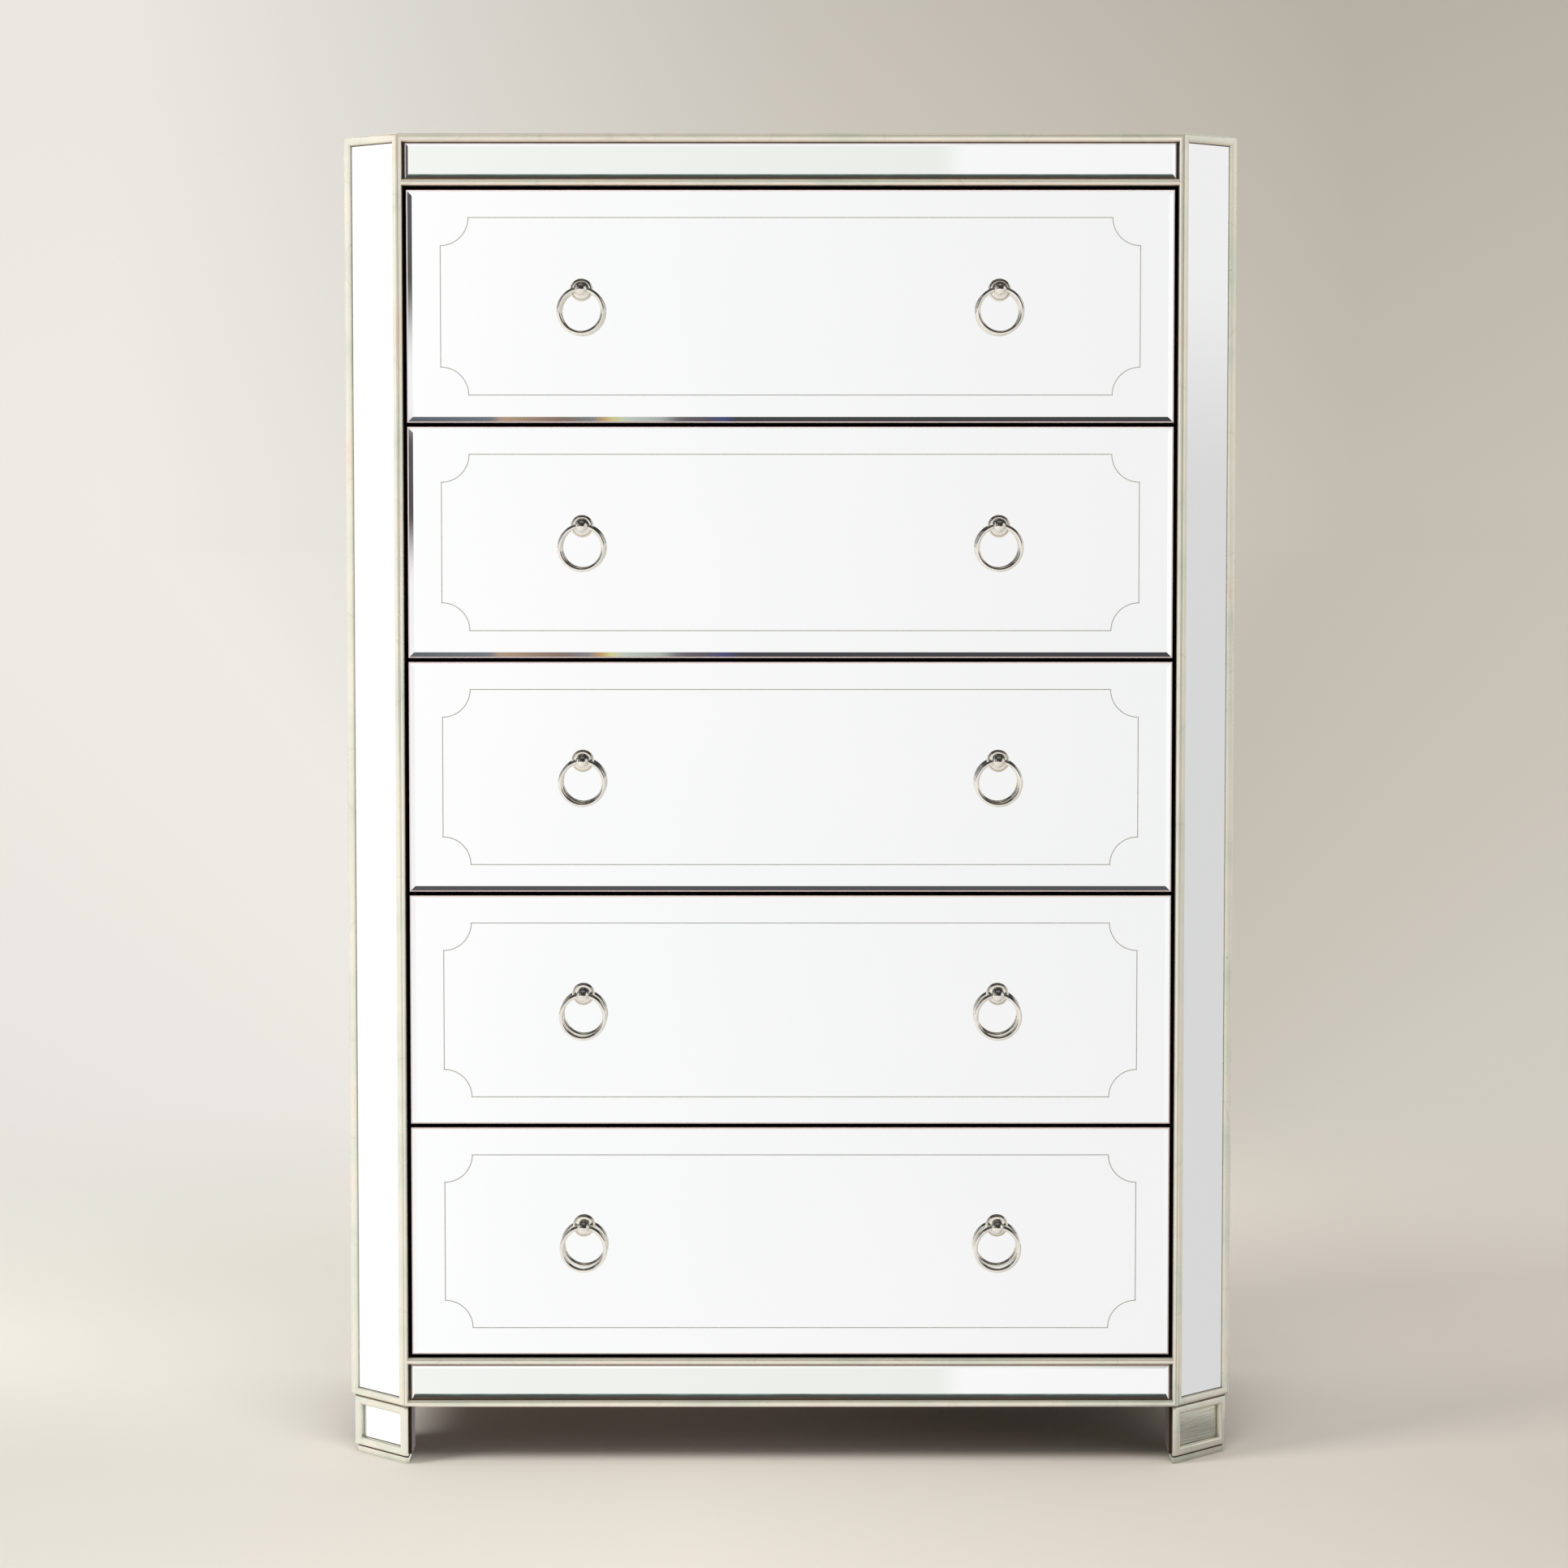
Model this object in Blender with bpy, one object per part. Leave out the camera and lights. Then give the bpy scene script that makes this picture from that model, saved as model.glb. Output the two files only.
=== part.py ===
"""A tall chest of five drawers, faced with mirror glass in frames of silvered wooden bead.

X runs to the right, the front faces -Y, and Z is up. The origin lies on the floor, under the middle of
the chest and its pulls.
"""

import math

import bmesh
import bpy
from mathutils import Matrix, Vector

MM = 0.001

# Overall sizes
OVERALL_HEIGHT = 1397 * MM
OVERALL_WIDTH = 940 * MM
CASE_DEPTH = 457 * MM
CANT_RUN = 62.5 * MM
FOOT_HEIGHT = 61.5 * MM

# Fits
JOINT_GAP = 0.3 * MM
MITRE_GAP = 0.35 * MM
MIRROR_EDGE_GAP = 0.6 * MM
CUT_OVERRUN = 2 * MM
MERGE_DISTANCE = 0.03 * MM

# Angles
CANT_ANGLE = math.radians(45)
CREST_EDGE_ANGLE = math.radians(45)
SMOOTH_ANGLE = math.radians(40)

# Beads
BEAD_RISE = 7 * MM
BEAD_ROUND = 2 * MM
BEAD_ROUND_STEPS = 2
BEAD_WIDTH = 7 * MM
TOP_BEAD_WIDTH = 9.5 * MM
STILE_BEAD_WIDTH = 4.5 * MM
CORNER_BEAD_WIDTH = 10 * MM
LOW_BEAD_WIDTH = 9 * MM

# Mirrors
GLASS_THICKNESS = 4 * MM
GLASS_BEVEL_WIDTH = 6 * MM
GLASS_BEVEL_DEPTH = 1 * MM
RAIL_FIELD_HEIGHT = 38 * MM
RAIL_MIRROR_END_GAP = 3 * MM
TOP_MIRROR_DROP = 2 * MM

# Boards of the case
BOARD_THICKNESS = 18 * MM
BACK_PANEL_THICKNESS = 6 * MM
POST_RETURN = 17.5 * MM
RAIL_THICKNESS = 20 * MM
RUNNER_PANEL_THICKNESS = 20 * MM
RUNNER_HEIGHT = 20 * MM

# Drawers
DRAWER_COUNT = 5
DRAWER_GAP = 4.4 * MM
DRAWER_RECESS = 1 * MM
FRONT_BOARD_THICKNESS = 15 * MM
FRONT_BOARD_INSET = 1 * MM
BOX_SIDE_CLEARANCE = 17 * MM
BOX_BACK_CLEARANCE = 25.1 * MM
BOX_TOP_DROP = 38.5 * MM
BOX_LIFT = 12 * MM
BOX_SIDE_THICKNESS = 16 * MM
BOX_END_THICKNESS = 12 * MM
BOX_BOTTOM_THICKNESS = 6 * MM
BOX_BOTTOM_RISE = 10 * MM
GROOVE_DEPTH = 8 * MM
GROOVE_RISE = 85 * MM

# Cut line on the drawer mirrors
LINE_SIDE_INSET = 35.3 * MM
LINE_END_INSET = 28.5 * MM
LINE_SCOOP_RADIUS = 29 * MM
LINE_SCOOP_STEPS = 5
LINE_WIDTH = 0.9 * MM
LINE_DEPTH = 0.5 * MM

# Ring pulls
PULL_SPREAD = 434 * MM
PULL_RISE = 17 * MM
BALL_STANDOFF = 15 * MM
BALL_RADIUS = 7 * MM
STEM_RADIUS = 3 * MM
COLLAR_RADIUS = 5.2 * MM
ROSETTE_RADIUS = 11.8 * MM
ROSETTE_THICKNESS = 3.4 * MM
ROSETTE_EDGE = 1.5 * MM
STUD_RADIUS = 2 * MM
STUD_SHORTFALL = 1.3 * MM
STUD_CLEARANCE = 0.4 * MM
RING_RADIUS = 22.8 * MM
WIRE_RADIUS = 2.4 * MM
WIRE_CLEARANCE = 0.35 * MM
TURNED_STEPS = 14
BALL_STEPS = 5
RING_STEPS = 22
WIRE_STEPS = 8
HOLE_STEPS = 12

# Feet
FOOT_RETURN = 7 * MM
FOOT_SET_BACK = 1 * MM
FOOT_SIDE_INSET = 4.5 * MM
FOOT_SIDE_DEPTH = 50 * MM
FOOT_BASE_HEIGHT = 8.5 * MM
FOOT_BASE_INSET = 2.5 * MM
FOOT_BASE_TAPER = 1.2 * MM
FOOT_BEAD_WIDTH = 9 * MM
FOOT_MIRROR_RECESS = 5 * MM

# Planes and heights that follow from the sizes
PULL_REACH = BALL_STANDOFF + BALL_RADIUS - DRAWER_RECESS
FRONT = (PULL_REACH - CASE_DEPTH) / 2
BACK = FRONT + CASE_DEPTH
HALF_WIDTH = OVERALL_WIDTH / 2
ARRIS_HALF = HALF_WIDTH - CANT_RUN
OPENING_HALF = ARRIS_HALF - STILE_BEAD_WIDTH
OPENING_BOTTOM = FOOT_HEIGHT + BEAD_WIDTH + RAIL_FIELD_HEIGHT + BEAD_WIDTH
OPENING_TOP = OVERALL_HEIGHT - TOP_BEAD_WIDTH - RAIL_FIELD_HEIGHT - BEAD_WIDTH
BOARD_DEPTH = BEAD_RISE + JOINT_GAP
GLASS_FACE_DEPTH = BEAD_RISE - GLASS_THICKNESS
CARCASS_BACK = BACK - BACK_PANEL_THICKNESS - JOINT_GAP
TOP_BOARD_TOP = OVERALL_HEIGHT - TOP_MIRROR_DROP - GLASS_THICKNESS - JOINT_GAP
TOP_BOARD_BOTTOM = TOP_BOARD_TOP - BOARD_THICKNESS
BOTTOM_BOARD_TOP = FOOT_HEIGHT + BOARD_THICKNESS
INSIDE_HEIGHTS = (BOTTOM_BOARD_TOP + JOINT_GAP, TOP_BOARD_BOTTOM - JOINT_GAP)
POST_BACK = FRONT + CANT_RUN + POST_RETURN
CANT_LENGTH = math.hypot(CANT_RUN, CANT_RUN)
SIDE_LENGTH = CASE_DEPTH - CANT_RUN
MITRE_SLOPE = math.tan(CANT_ANGLE / 2)
DIAGONAL = 1 / math.cos(CANT_ANGLE)

DRAWER_WIDTH = 2 * (OPENING_HALF - DRAWER_GAP)
DRAWER_HEIGHT = (OPENING_TOP - OPENING_BOTTOM - (DRAWER_COUNT + 1) * DRAWER_GAP) / DRAWER_COUNT
DRAWER_PITCH = DRAWER_HEIGHT + DRAWER_GAP
FRONT_BOARD_FACE = DRAWER_RECESS + GLASS_THICKNESS + JOINT_GAP
STUD_LENGTH = FRONT_BOARD_FACE + FRONT_BOARD_THICKNESS - DRAWER_RECESS - STUD_SHORTFALL
BOX_FACE = FRONT_BOARD_FACE + FRONT_BOARD_THICKNESS + JOINT_GAP
BOX_HALF_WIDTH = OPENING_HALF - BOX_SIDE_CLEARANCE
BOX_BACK = CARCASS_BACK - FRONT - BOX_BACK_CLEARANCE
BOX_UNDERSIDE = BOX_LIFT - DRAWER_HEIGHT / 2
BOX_TOP = DRAWER_HEIGHT / 2 - BOX_TOP_DROP
RUNNER_MIDDLE = BOX_UNDERSIDE + GROOVE_RISE
RING_SAG = RING_RADIUS - math.sqrt(RING_RADIUS ** 2 - BALL_RADIUS ** 2)
WIRE_HOLE_RADIUS = WIRE_RADIUS + RING_SAG / 2 + WIRE_CLEARANCE

# Finishes: colour, roughness, metallic
SILVER_LEAF = ((0.72, 0.69, 0.58), 0.38, 0.55)
MIRROR_GLASS = ((0.90, 0.93, 0.92), 0.03, 1.0)
BLACK_PAINT = ((0.012, 0.012, 0.012), 0.55, 0.0)
HARDWOOD = ((0.52, 0.38, 0.24), 0.6, 0.0)
GREY_BOARD = ((0.10, 0.095, 0.09), 0.7, 0.0)
NICKEL = ((0.80, 0.77, 0.72), 0.12, 1.0)


def clear_scene():
    """Remove what the scene holds."""
    for thing in list(bpy.data.objects):
        bpy.data.objects.remove(thing, do_unlink=True)


def give_finish(thing, finish):
    """Give a piece its own material."""
    colour, roughness, metallic = finish
    material = bpy.data.materials.new(thing.name)
    material.use_nodes = True
    shader = material.node_tree.nodes["Principled BSDF"]
    shader.inputs["Base Color"].default_value = (*colour, 1)
    shader.inputs["Roughness"].default_value = roughness
    shader.inputs["Metallic"].default_value = metallic
    thing.data.materials.clear()
    thing.data.materials.append(material)


def add_piece(name, bm, finish, location=(0, 0, 0), turn=0, parent=None):
    """Make a named piece of a closed mesh, turned about Z and placed."""
    bmesh.ops.recalc_face_normals(bm, faces=bm.faces)
    if bm.calc_volume(signed=True) < 0:
        bmesh.ops.reverse_faces(bm, faces=bm.faces)
    mesh = bpy.data.meshes.new(name)
    bm.to_mesh(mesh)
    bm.free()
    thing = bpy.data.objects.new(name, mesh)
    bpy.context.scene.collection.objects.link(thing)
    thing.location = location
    thing.rotation_euler = (0, 0, turn)
    thing.parent = parent
    give_finish(thing, finish)
    return thing


def add_copy(source, name, finish, location, parent):
    """Place another piece of the same shape."""
    thing = bpy.data.objects.new(name, source.data.copy())
    bpy.context.scene.collection.objects.link(thing)
    thing.location = location
    thing.parent = parent
    give_finish(thing, finish)
    return thing


def combine(target, tools, operation):
    """Cut the tools out of a piece, or join them to it, and keep the result as its mesh."""
    for tool in tools:
        modifier = target.modifiers.new(tool.name, "BOOLEAN")
        modifier.operation = operation
        modifier.solver = "EXACT"
        modifier.object = tool
    evaluated = target.evaluated_get(bpy.context.evaluated_depsgraph_get())
    shaped = bpy.data.meshes.new_from_object(evaluated)
    target.modifiers.clear()
    target.data = shaped
    for tool in tools:
        bpy.data.objects.remove(tool, do_unlink=True)


def smooth(thing):
    """Shade a turned piece smooth, but for its sharp edges."""
    thing.data.shade_smooth()
    thing.data.set_sharp_from_angle(angle=SMOOTH_ANGLE)


def block(x_span, y_span, z_span):
    """A box between pairs of coordinates."""
    spans = (x_span, y_span, z_span)
    centre = Vector([(low + high) / 2 for low, high in spans])
    size = Vector([high - low for low, high in spans])
    bm = bmesh.new()
    bmesh.ops.create_cube(bm, size=1, matrix=Matrix.Translation(centre) @ Matrix.Diagonal(size).to_4x4())
    return bm


def prism(outline, depth, plane="plan"):
    """An outline pushed straight through: up from a plan, or back from an elevation."""
    lift = Vector((0, 0, depth)) if plane == "plan" else Vector((0, depth, 0))
    bm = bmesh.new()
    base = bm.faces.new([bm.verts.new(point) for point in outline])
    pushed = bmesh.ops.extrude_face_region(bm, geom=[base])
    corners = [item for item in pushed["geom"] if isinstance(item, bmesh.types.BMVert)]
    bmesh.ops.translate(bm, verts=corners, vec=lift)
    return bm


def skin(rings, closed=False):
    """A solid skinned over rings of points; capped, or closed on itself."""
    bm = bmesh.new()
    loops = [[bm.verts.new(point) for point in ring] for ring in rings]
    pairs = list(zip(loops, loops[1:]))
    if closed:
        pairs.append((loops[-1], loops[0]))
    else:
        bm.faces.new(loops[0])
        bm.faces.new(loops[-1])
    for near, far in pairs:
        for index in range(len(near)):
            bm.faces.new((near[index - 1], near[index], far[index], far[index - 1]))
    return bm


def turned(profile):
    """A piece turned about Y from (radius, y) points that start and end on the axis."""
    bm = bmesh.new()
    verts = [bm.verts.new((radius, y, 0)) for radius, y in profile]
    edges = [bm.edges.new(pair) for pair in zip(verts, verts[1:])]
    bmesh.ops.spin(bm, geom=verts + edges, cent=(0, 0, 0), axis=(0, 1, 0),
                   angle=2 * math.pi, steps=TURNED_STEPS, use_merge=True)
    bmesh.ops.remove_doubles(bm, verts=bm.verts, dist=MERGE_DISTANCE)
    return bm


def rod(radius, length, matrix):
    """A round bar, centred and placed by a matrix."""
    bm = bmesh.new()
    bmesh.ops.create_cone(bm, cap_ends=True, segments=HOLE_STEPS, radius1=radius, radius2=radius,
                          depth=length, matrix=matrix)
    return bm


def case_arrises(depth):
    """The right-hand front and side arris of the case, a depth below the crest of its beads."""
    front_arris = (ARRIS_HALF - depth * MITRE_SLOPE, FRONT + depth)
    side_arris = (HALF_WIDTH - depth, FRONT + CANT_RUN + depth * MITRE_SLOPE)
    return front_arris, side_arris


def case_outline(depth, back, height):
    """The plan of the case, with its two canted corners, as points at a height."""
    front_arris, side_arris = case_arrises(depth)
    right = [front_arris, side_arris, (side_arris[0], back)]
    left = [(-x, y) for x, y in reversed(right)]
    return [(x, y, height) for x, y in right + left]


def make_boards():
    """The top, bottom, side and back boards."""
    bottom = case_outline(BOARD_DEPTH, CARCASS_BACK, FOOT_HEIGHT)
    add_piece("bottom_board", prism(bottom, BOARD_THICKNESS), BLACK_PAINT)
    top = case_outline(BOARD_DEPTH, CARCASS_BACK, TOP_BOARD_BOTTOM)
    add_piece("top_board", prism(top, BOARD_THICKNESS), BLACK_PAINT)
    outer = HALF_WIDTH - BOARD_DEPTH
    for side, sign in (("left", -1), ("right", 1)):
        x_span = sorted((sign * outer, sign * (outer - BOARD_THICKNESS)))
        y_span = (POST_BACK + JOINT_GAP, CARCASS_BACK)
        add_piece(side + "_side_panel", block(x_span, y_span, INSIDE_HEIGHTS), BLACK_PAINT)
    back = block((-outer, outer), (BACK - BACK_PANEL_THICKNESS, BACK), (FOOT_HEIGHT, TOP_BOARD_TOP))
    add_piece("back_panel", back, GREY_BOARD)


def make_face_frame():
    """The two corner posts and two rails, glued up round the drawer opening."""
    bottom, top = INSIDE_HEIGHTS
    front_arris, side_arris = case_arrises(BOARD_DEPTH)
    plan = [(OPENING_HALF, front_arris[1]), front_arris, side_arris,
            (side_arris[0], POST_BACK), (OPENING_HALF, POST_BACK)]
    right_post = [(x, y, bottom) for x, y in plan]
    left_post = [(-x, y, bottom) for x, y in plan]
    frame = add_piece("face_frame", prism(right_post, top - bottom), BLACK_PAINT)
    reach = (OPENING_HALF + front_arris[0]) / 2
    rail_span = (front_arris[1], front_arris[1] + RAIL_THICKNESS)
    tools = [
        add_piece("second_post", prism(left_post, top - bottom), BLACK_PAINT),
        add_piece("lower_rail", block((-reach, reach), rail_span, (bottom, OPENING_BOTTOM)), BLACK_PAINT),
        add_piece("upper_rail", block((-reach, reach), rail_span, (OPENING_TOP, top)), BLACK_PAINT),
    ]
    combine(frame, tools, "UNION")


def drawer_middle(number):
    """The height of a drawer's middle, counted from the top."""
    return OPENING_TOP - DRAWER_GAP - DRAWER_HEIGHT / 2 - (number - 1) * DRAWER_PITCH


def make_runner_panels():
    """The inner panels that carry a hardwood runner for each drawer."""
    bottom, top = INSIDE_HEIGHTS
    outer = OPENING_HALF + RUNNER_PANEL_THICKNESS
    tip = BOX_HALF_WIDTH - GROOVE_DEPTH + JOINT_GAP
    comb = [(outer, bottom), (OPENING_HALF, bottom)]
    for number in range(DRAWER_COUNT, 0, -1):
        low = drawer_middle(number) + RUNNER_MIDDLE - RUNNER_HEIGHT / 2
        high = low + RUNNER_HEIGHT
        comb += [(OPENING_HALF, low), (tip, low), (tip, high), (OPENING_HALF, high)]
    comb += [(OPENING_HALF, top), (outer, top)]
    start = POST_BACK + JOINT_GAP
    for side, sign in (("left", -1), ("right", 1)):
        outline = [(sign * x, start, z) for x, z in comb]
        panel = prism(outline, CARCASS_BACK - start, "elevation")
        add_piece(side + "_runner_panel", panel, HARDWOOD)


def bead_frame(columns, rows, windows):
    """A flat frame of bead: crest at y = 0, back at y = BEAD_RISE, rounded round every crest edge."""
    bm = bmesh.new()
    grid = [[bm.verts.new((x, 0, z)) for z in rows] for x in columns]
    faces = []
    for column in range(len(columns) - 1):
        for row in range(len(rows) - 1):
            middle = ((columns[column] + columns[column + 1]) / 2, (rows[row] + rows[row + 1]) / 2)
            if any(x0 < middle[0] < x1 and z0 < middle[1] < z1 for x0, x1, z0, z1 in windows):
                continue
            corners = (grid[column][row], grid[column + 1][row],
                       grid[column + 1][row + 1], grid[column][row + 1])
            faces.append(bm.faces.new(corners))
    pushed = bmesh.ops.extrude_face_region(bm, geom=faces)
    backs = [item for item in pushed["geom"] if isinstance(item, bmesh.types.BMVert)]
    bmesh.ops.translate(bm, verts=backs, vec=(0, BEAD_RISE, 0))
    bmesh.ops.delete(bm, geom=[vert for vert in bm.verts if not vert.link_faces], context="VERTS")
    bmesh.ops.recalc_face_normals(bm, faces=bm.faces)
    bm.normal_update()
    crest_edges = []
    for edge in bm.edges:
        on_crest = all(vert.co.y < BEAD_RISE / 2 for vert in edge.verts)
        if on_crest and edge.calc_face_angle(0) > CREST_EDGE_ANGLE:
            crest_edges.append(edge)
    bmesh.ops.bevel(bm, geom=crest_edges, offset=BEAD_ROUND, offset_type="OFFSET",
                    segments=BEAD_ROUND_STEPS, profile=0.5, affect="EDGES", clamp_overlap=True)
    return bm


def mitre_shift(distance, depth, width):
    """How far a point leans in at a mitred end: all of it at the end, none past the bead's width."""
    return depth * MITRE_SLOPE * max(0, 1 - distance / width)


def make_front_trim():
    """The beads on the front: round both rail mirrors and up both sides of the drawers."""
    columns = [-ARRIS_HALF, -OPENING_HALF, OPENING_HALF, ARRIS_HALF]
    rows = [FOOT_HEIGHT, FOOT_HEIGHT + BEAD_WIDTH, OPENING_BOTTOM - BEAD_WIDTH, OPENING_BOTTOM,
            OPENING_TOP, OPENING_TOP + BEAD_WIDTH, OVERALL_HEIGHT - TOP_BEAD_WIDTH, OVERALL_HEIGHT]
    windows = [(-OPENING_HALF, OPENING_HALF, rows[low], rows[low + 1]) for low in (1, 3, 5)]
    bm = bead_frame(columns, rows, windows)
    for vert in bm.verts:
        distance = ARRIS_HALF - abs(vert.co.x)
        lean = mitre_shift(distance, vert.co.y, STILE_BEAD_WIDTH)
        vert.co.x -= math.copysign(lean, vert.co.x)
        vert.co.y += FRONT
    add_piece("front_bead_trim", bm, SILVER_LEAF)


def valley_depth(distance):
    """The depth of the valley between two rounded beads that meet, near the line where they meet."""
    share = min(abs(distance) / BEAD_ROUND, 1)
    return BEAD_ROUND * (1 - math.sqrt(1 - (1 - share) ** 2))


def fold_point(along, depth, height):
    """A point of the flat side frame, folded round the right-hand corner of the case."""
    if along <= CANT_LENGTH:
        shift = mitre_shift(along, depth, CORNER_BEAD_WIDTH)
        shift -= mitre_shift(CANT_LENGTH - along, depth, CORNER_BEAD_WIDTH)
        run = (along + shift) / DIAGONAL
        inward = depth / DIAGONAL
        return Vector((ARRIS_HALF + run - inward, FRONT + run + inward, height))
    past = along - CANT_LENGTH
    past += mitre_shift(past, depth, CORNER_BEAD_WIDTH)
    return Vector((HALF_WIDTH - depth, FRONT + CANT_RUN + past, height))


def make_side_trims():
    """The beads round each canted corner's mirror, carried on round the side's mirror."""
    end = CANT_LENGTH + SIDE_LENGTH
    fold = [CANT_LENGTH + BEAD_ROUND * half / 2 for half in (-2, -1, 0, 1, 2)]
    columns = [MITRE_GAP, CORNER_BEAD_WIDTH, CANT_LENGTH - CORNER_BEAD_WIDTH, *fold,
               CANT_LENGTH + CORNER_BEAD_WIDTH, end - CORNER_BEAD_WIDTH, end]
    rows = [FOOT_HEIGHT, FOOT_HEIGHT + LOW_BEAD_WIDTH, OVERALL_HEIGHT - TOP_BEAD_WIDTH, OVERALL_HEIGHT]
    windows = [(CORNER_BEAD_WIDTH, CANT_LENGTH - CORNER_BEAD_WIDTH, rows[1], rows[2]),
               (CANT_LENGTH + CORNER_BEAD_WIDTH, end - CORNER_BEAD_WIDTH, rows[1], rows[2])]
    for side, sign in (("left", -1), ("right", 1)):
        bm = bead_frame(columns, rows, windows)
        for vert in bm.verts:
            along, depth, height = vert.co
            if depth < BEAD_RISE / 2:
                depth = max(depth, valley_depth(along - CANT_LENGTH))
            vert.co = fold_point(along, depth, height)
            vert.co.x *= sign
        add_piece(side + "_bead_trim", bm, SILVER_LEAF)


def mirror_plate(width, height, bevel=0):
    """A pane facing -Y, centred, with its face at y = 0 and, if asked, a wide ground bevel."""
    bm = block((-width / 2, width / 2), (0, GLASS_THICKNESS), (-height / 2, height / 2))
    if bevel:
        face = min(bm.faces, key=lambda candidate: candidate.calc_center_median().y)
        rim = list(face.verts)
        bmesh.ops.inset_region(bm, faces=[face], thickness=bevel)
        bmesh.ops.translate(bm, verts=rim, vec=(0, GLASS_BEVEL_DEPTH, 0))
    return bm


def make_fixed_mirrors():
    """The mirrors on the rails, the canted corners, the sides and the top."""
    rail_width = 2 * (OPENING_HALF - RAIL_MIRROR_END_GAP)
    rail_height = RAIL_FIELD_HEIGHT - 2 * MIRROR_EDGE_GAP
    for name, middle in (("lower_rail_mirror", OPENING_BOTTOM - BEAD_WIDTH - RAIL_FIELD_HEIGHT / 2),
                         ("upper_rail_mirror", OPENING_TOP + BEAD_WIDTH + RAIL_FIELD_HEIGHT / 2)):
        pane = mirror_plate(rail_width, rail_height, GLASS_BEVEL_WIDTH)
        add_piece(name, pane, MIRROR_GLASS, (0, FRONT + GLASS_FACE_DEPTH, middle))

    low = FOOT_HEIGHT + LOW_BEAD_WIDTH
    high = OVERALL_HEIGHT - TOP_BEAD_WIDTH
    pane_height = high - low - 2 * MIRROR_EDGE_GAP
    edge = CORNER_BEAD_WIDTH + MIRROR_EDGE_GAP
    for side, sign in (("left", -1), ("right", 1)):
        pane = mirror_plate(CANT_LENGTH - 2 * edge, pane_height)
        place = fold_point(CANT_LENGTH / 2, GLASS_FACE_DEPTH, (low + high) / 2)
        place.x *= sign
        add_piece(side + "_corner_mirror", pane, MIRROR_GLASS, place, sign * CANT_ANGLE)
        pane = mirror_plate(SIDE_LENGTH - 2 * edge, pane_height)
        place = fold_point(CANT_LENGTH + SIDE_LENGTH / 2, GLASS_FACE_DEPTH, (low + high) / 2)
        place.x *= sign
        add_piece(side + "_side_mirror", pane, MIRROR_GLASS, place, sign * math.pi / 2)

    top = case_outline(BOARD_DEPTH, BACK, TOP_BOARD_TOP + JOINT_GAP)
    add_piece("top_mirror", prism(top, GLASS_THICKNESS), MIRROR_GLASS)


def front_foot_ring(inset, height, sign):
    """The plan of a front foot at a height, drawn in all round."""
    depth = FOOT_SET_BACK + inset
    inner = ARRIS_HALF - FOOT_RETURN + inset
    outer = HALF_WIDTH - FOOT_SIDE_INSET - inset
    heel = FRONT + FOOT_SIDE_DEPTH - inset
    plan = [(inner, FRONT + depth),
            (ARRIS_HALF - depth * MITRE_SLOPE, FRONT + depth),
            (outer, FRONT + (outer - ARRIS_HALF) + depth * DIAGONAL),
            (outer, heel + (outer - inner)),
            (inner, heel)]
    return [(sign * x, y, height) for x, y in plan]


def back_foot_ring(inset, height, sign):
    """The plan of a back foot at a height."""
    inner = HALF_WIDTH - FOOT_SIDE_INSET - FOOT_SIDE_DEPTH + inset
    outer = HALF_WIDTH - FOOT_SIDE_INSET - inset
    near = BACK - FOOT_SIDE_DEPTH + inset
    far = BACK - FOOT_SET_BACK - inset
    return [(sign * x, y, height) for x, y in ((inner, near), (outer, near), (outer, far), (inner, far))]


def foot_block(ring, sign):
    """A foot: a low tapered base under a taller block."""
    top = FOOT_HEIGHT - JOINT_GAP
    rings = [ring(FOOT_BASE_INSET + FOOT_BASE_TAPER, 0, sign),
             ring(FOOT_BASE_INSET, FOOT_BASE_HEIGHT, sign),
             ring(0, FOOT_BASE_HEIGHT, sign),
             ring(0, top, sign)]
    return skin(rings)


def make_feet():
    """Two canted front feet, each with a small mirror let into it, and two plain back feet."""
    top = FOOT_HEIGHT - JOINT_GAP
    outer = HALF_WIDTH - FOOT_SIDE_INSET
    arris = ARRIS_HALF - FOOT_SET_BACK * MITRE_SLOPE
    face_width = (outer - arris) * DIAGONAL
    middle_x = (outer + arris) / 2
    middle_y = FRONT + (middle_x - ARRIS_HALF) + FOOT_SET_BACK * DIAGONAL
    low = FOOT_BASE_HEIGHT + FOOT_BEAD_WIDTH
    high = top - FOOT_BEAD_WIDTH
    half_width = face_width / 2 - FOOT_BEAD_WIDTH
    half_height = (high - low) / 2
    pocket_depth = FOOT_MIRROR_RECESS + GLASS_THICKNESS + JOINT_GAP
    for side, sign in (("left", -1), ("right", 1)):
        foot = add_piece(f"front_{side}_foot", foot_block(front_foot_ring, sign), SILVER_LEAF)
        levels = ((BEAD_ROUND + CUT_OVERRUN, -CUT_OVERRUN), (0, BEAD_ROUND), (0, pocket_depth))
        rings = []
        for extra, depth in levels:
            x = half_width + extra
            z = half_height + extra
            rings.append([(-x, depth, -z), (x, depth, -z), (x, depth, z), (-x, depth, z)])
        place = (sign * middle_x, middle_y, (low + high) / 2)
        turn = sign * CANT_ANGLE
        pocket = add_piece(f"{side}_pocket", skin(rings), SILVER_LEAF, place, turn)
        combine(foot, [pocket], "DIFFERENCE")
        pane = mirror_plate(2 * (half_width - MIRROR_EDGE_GAP), 2 * (half_height - MIRROR_EDGE_GAP))
        inward = FOOT_MIRROR_RECESS / DIAGONAL
        place = (sign * (middle_x - inward), middle_y + inward, (low + high) / 2)
        add_piece(f"front_{side}_foot_mirror", pane, MIRROR_GLASS, place, turn)
        add_piece(f"back_{side}_foot", foot_block(back_foot_ring, sign), SILVER_LEAF)


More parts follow.
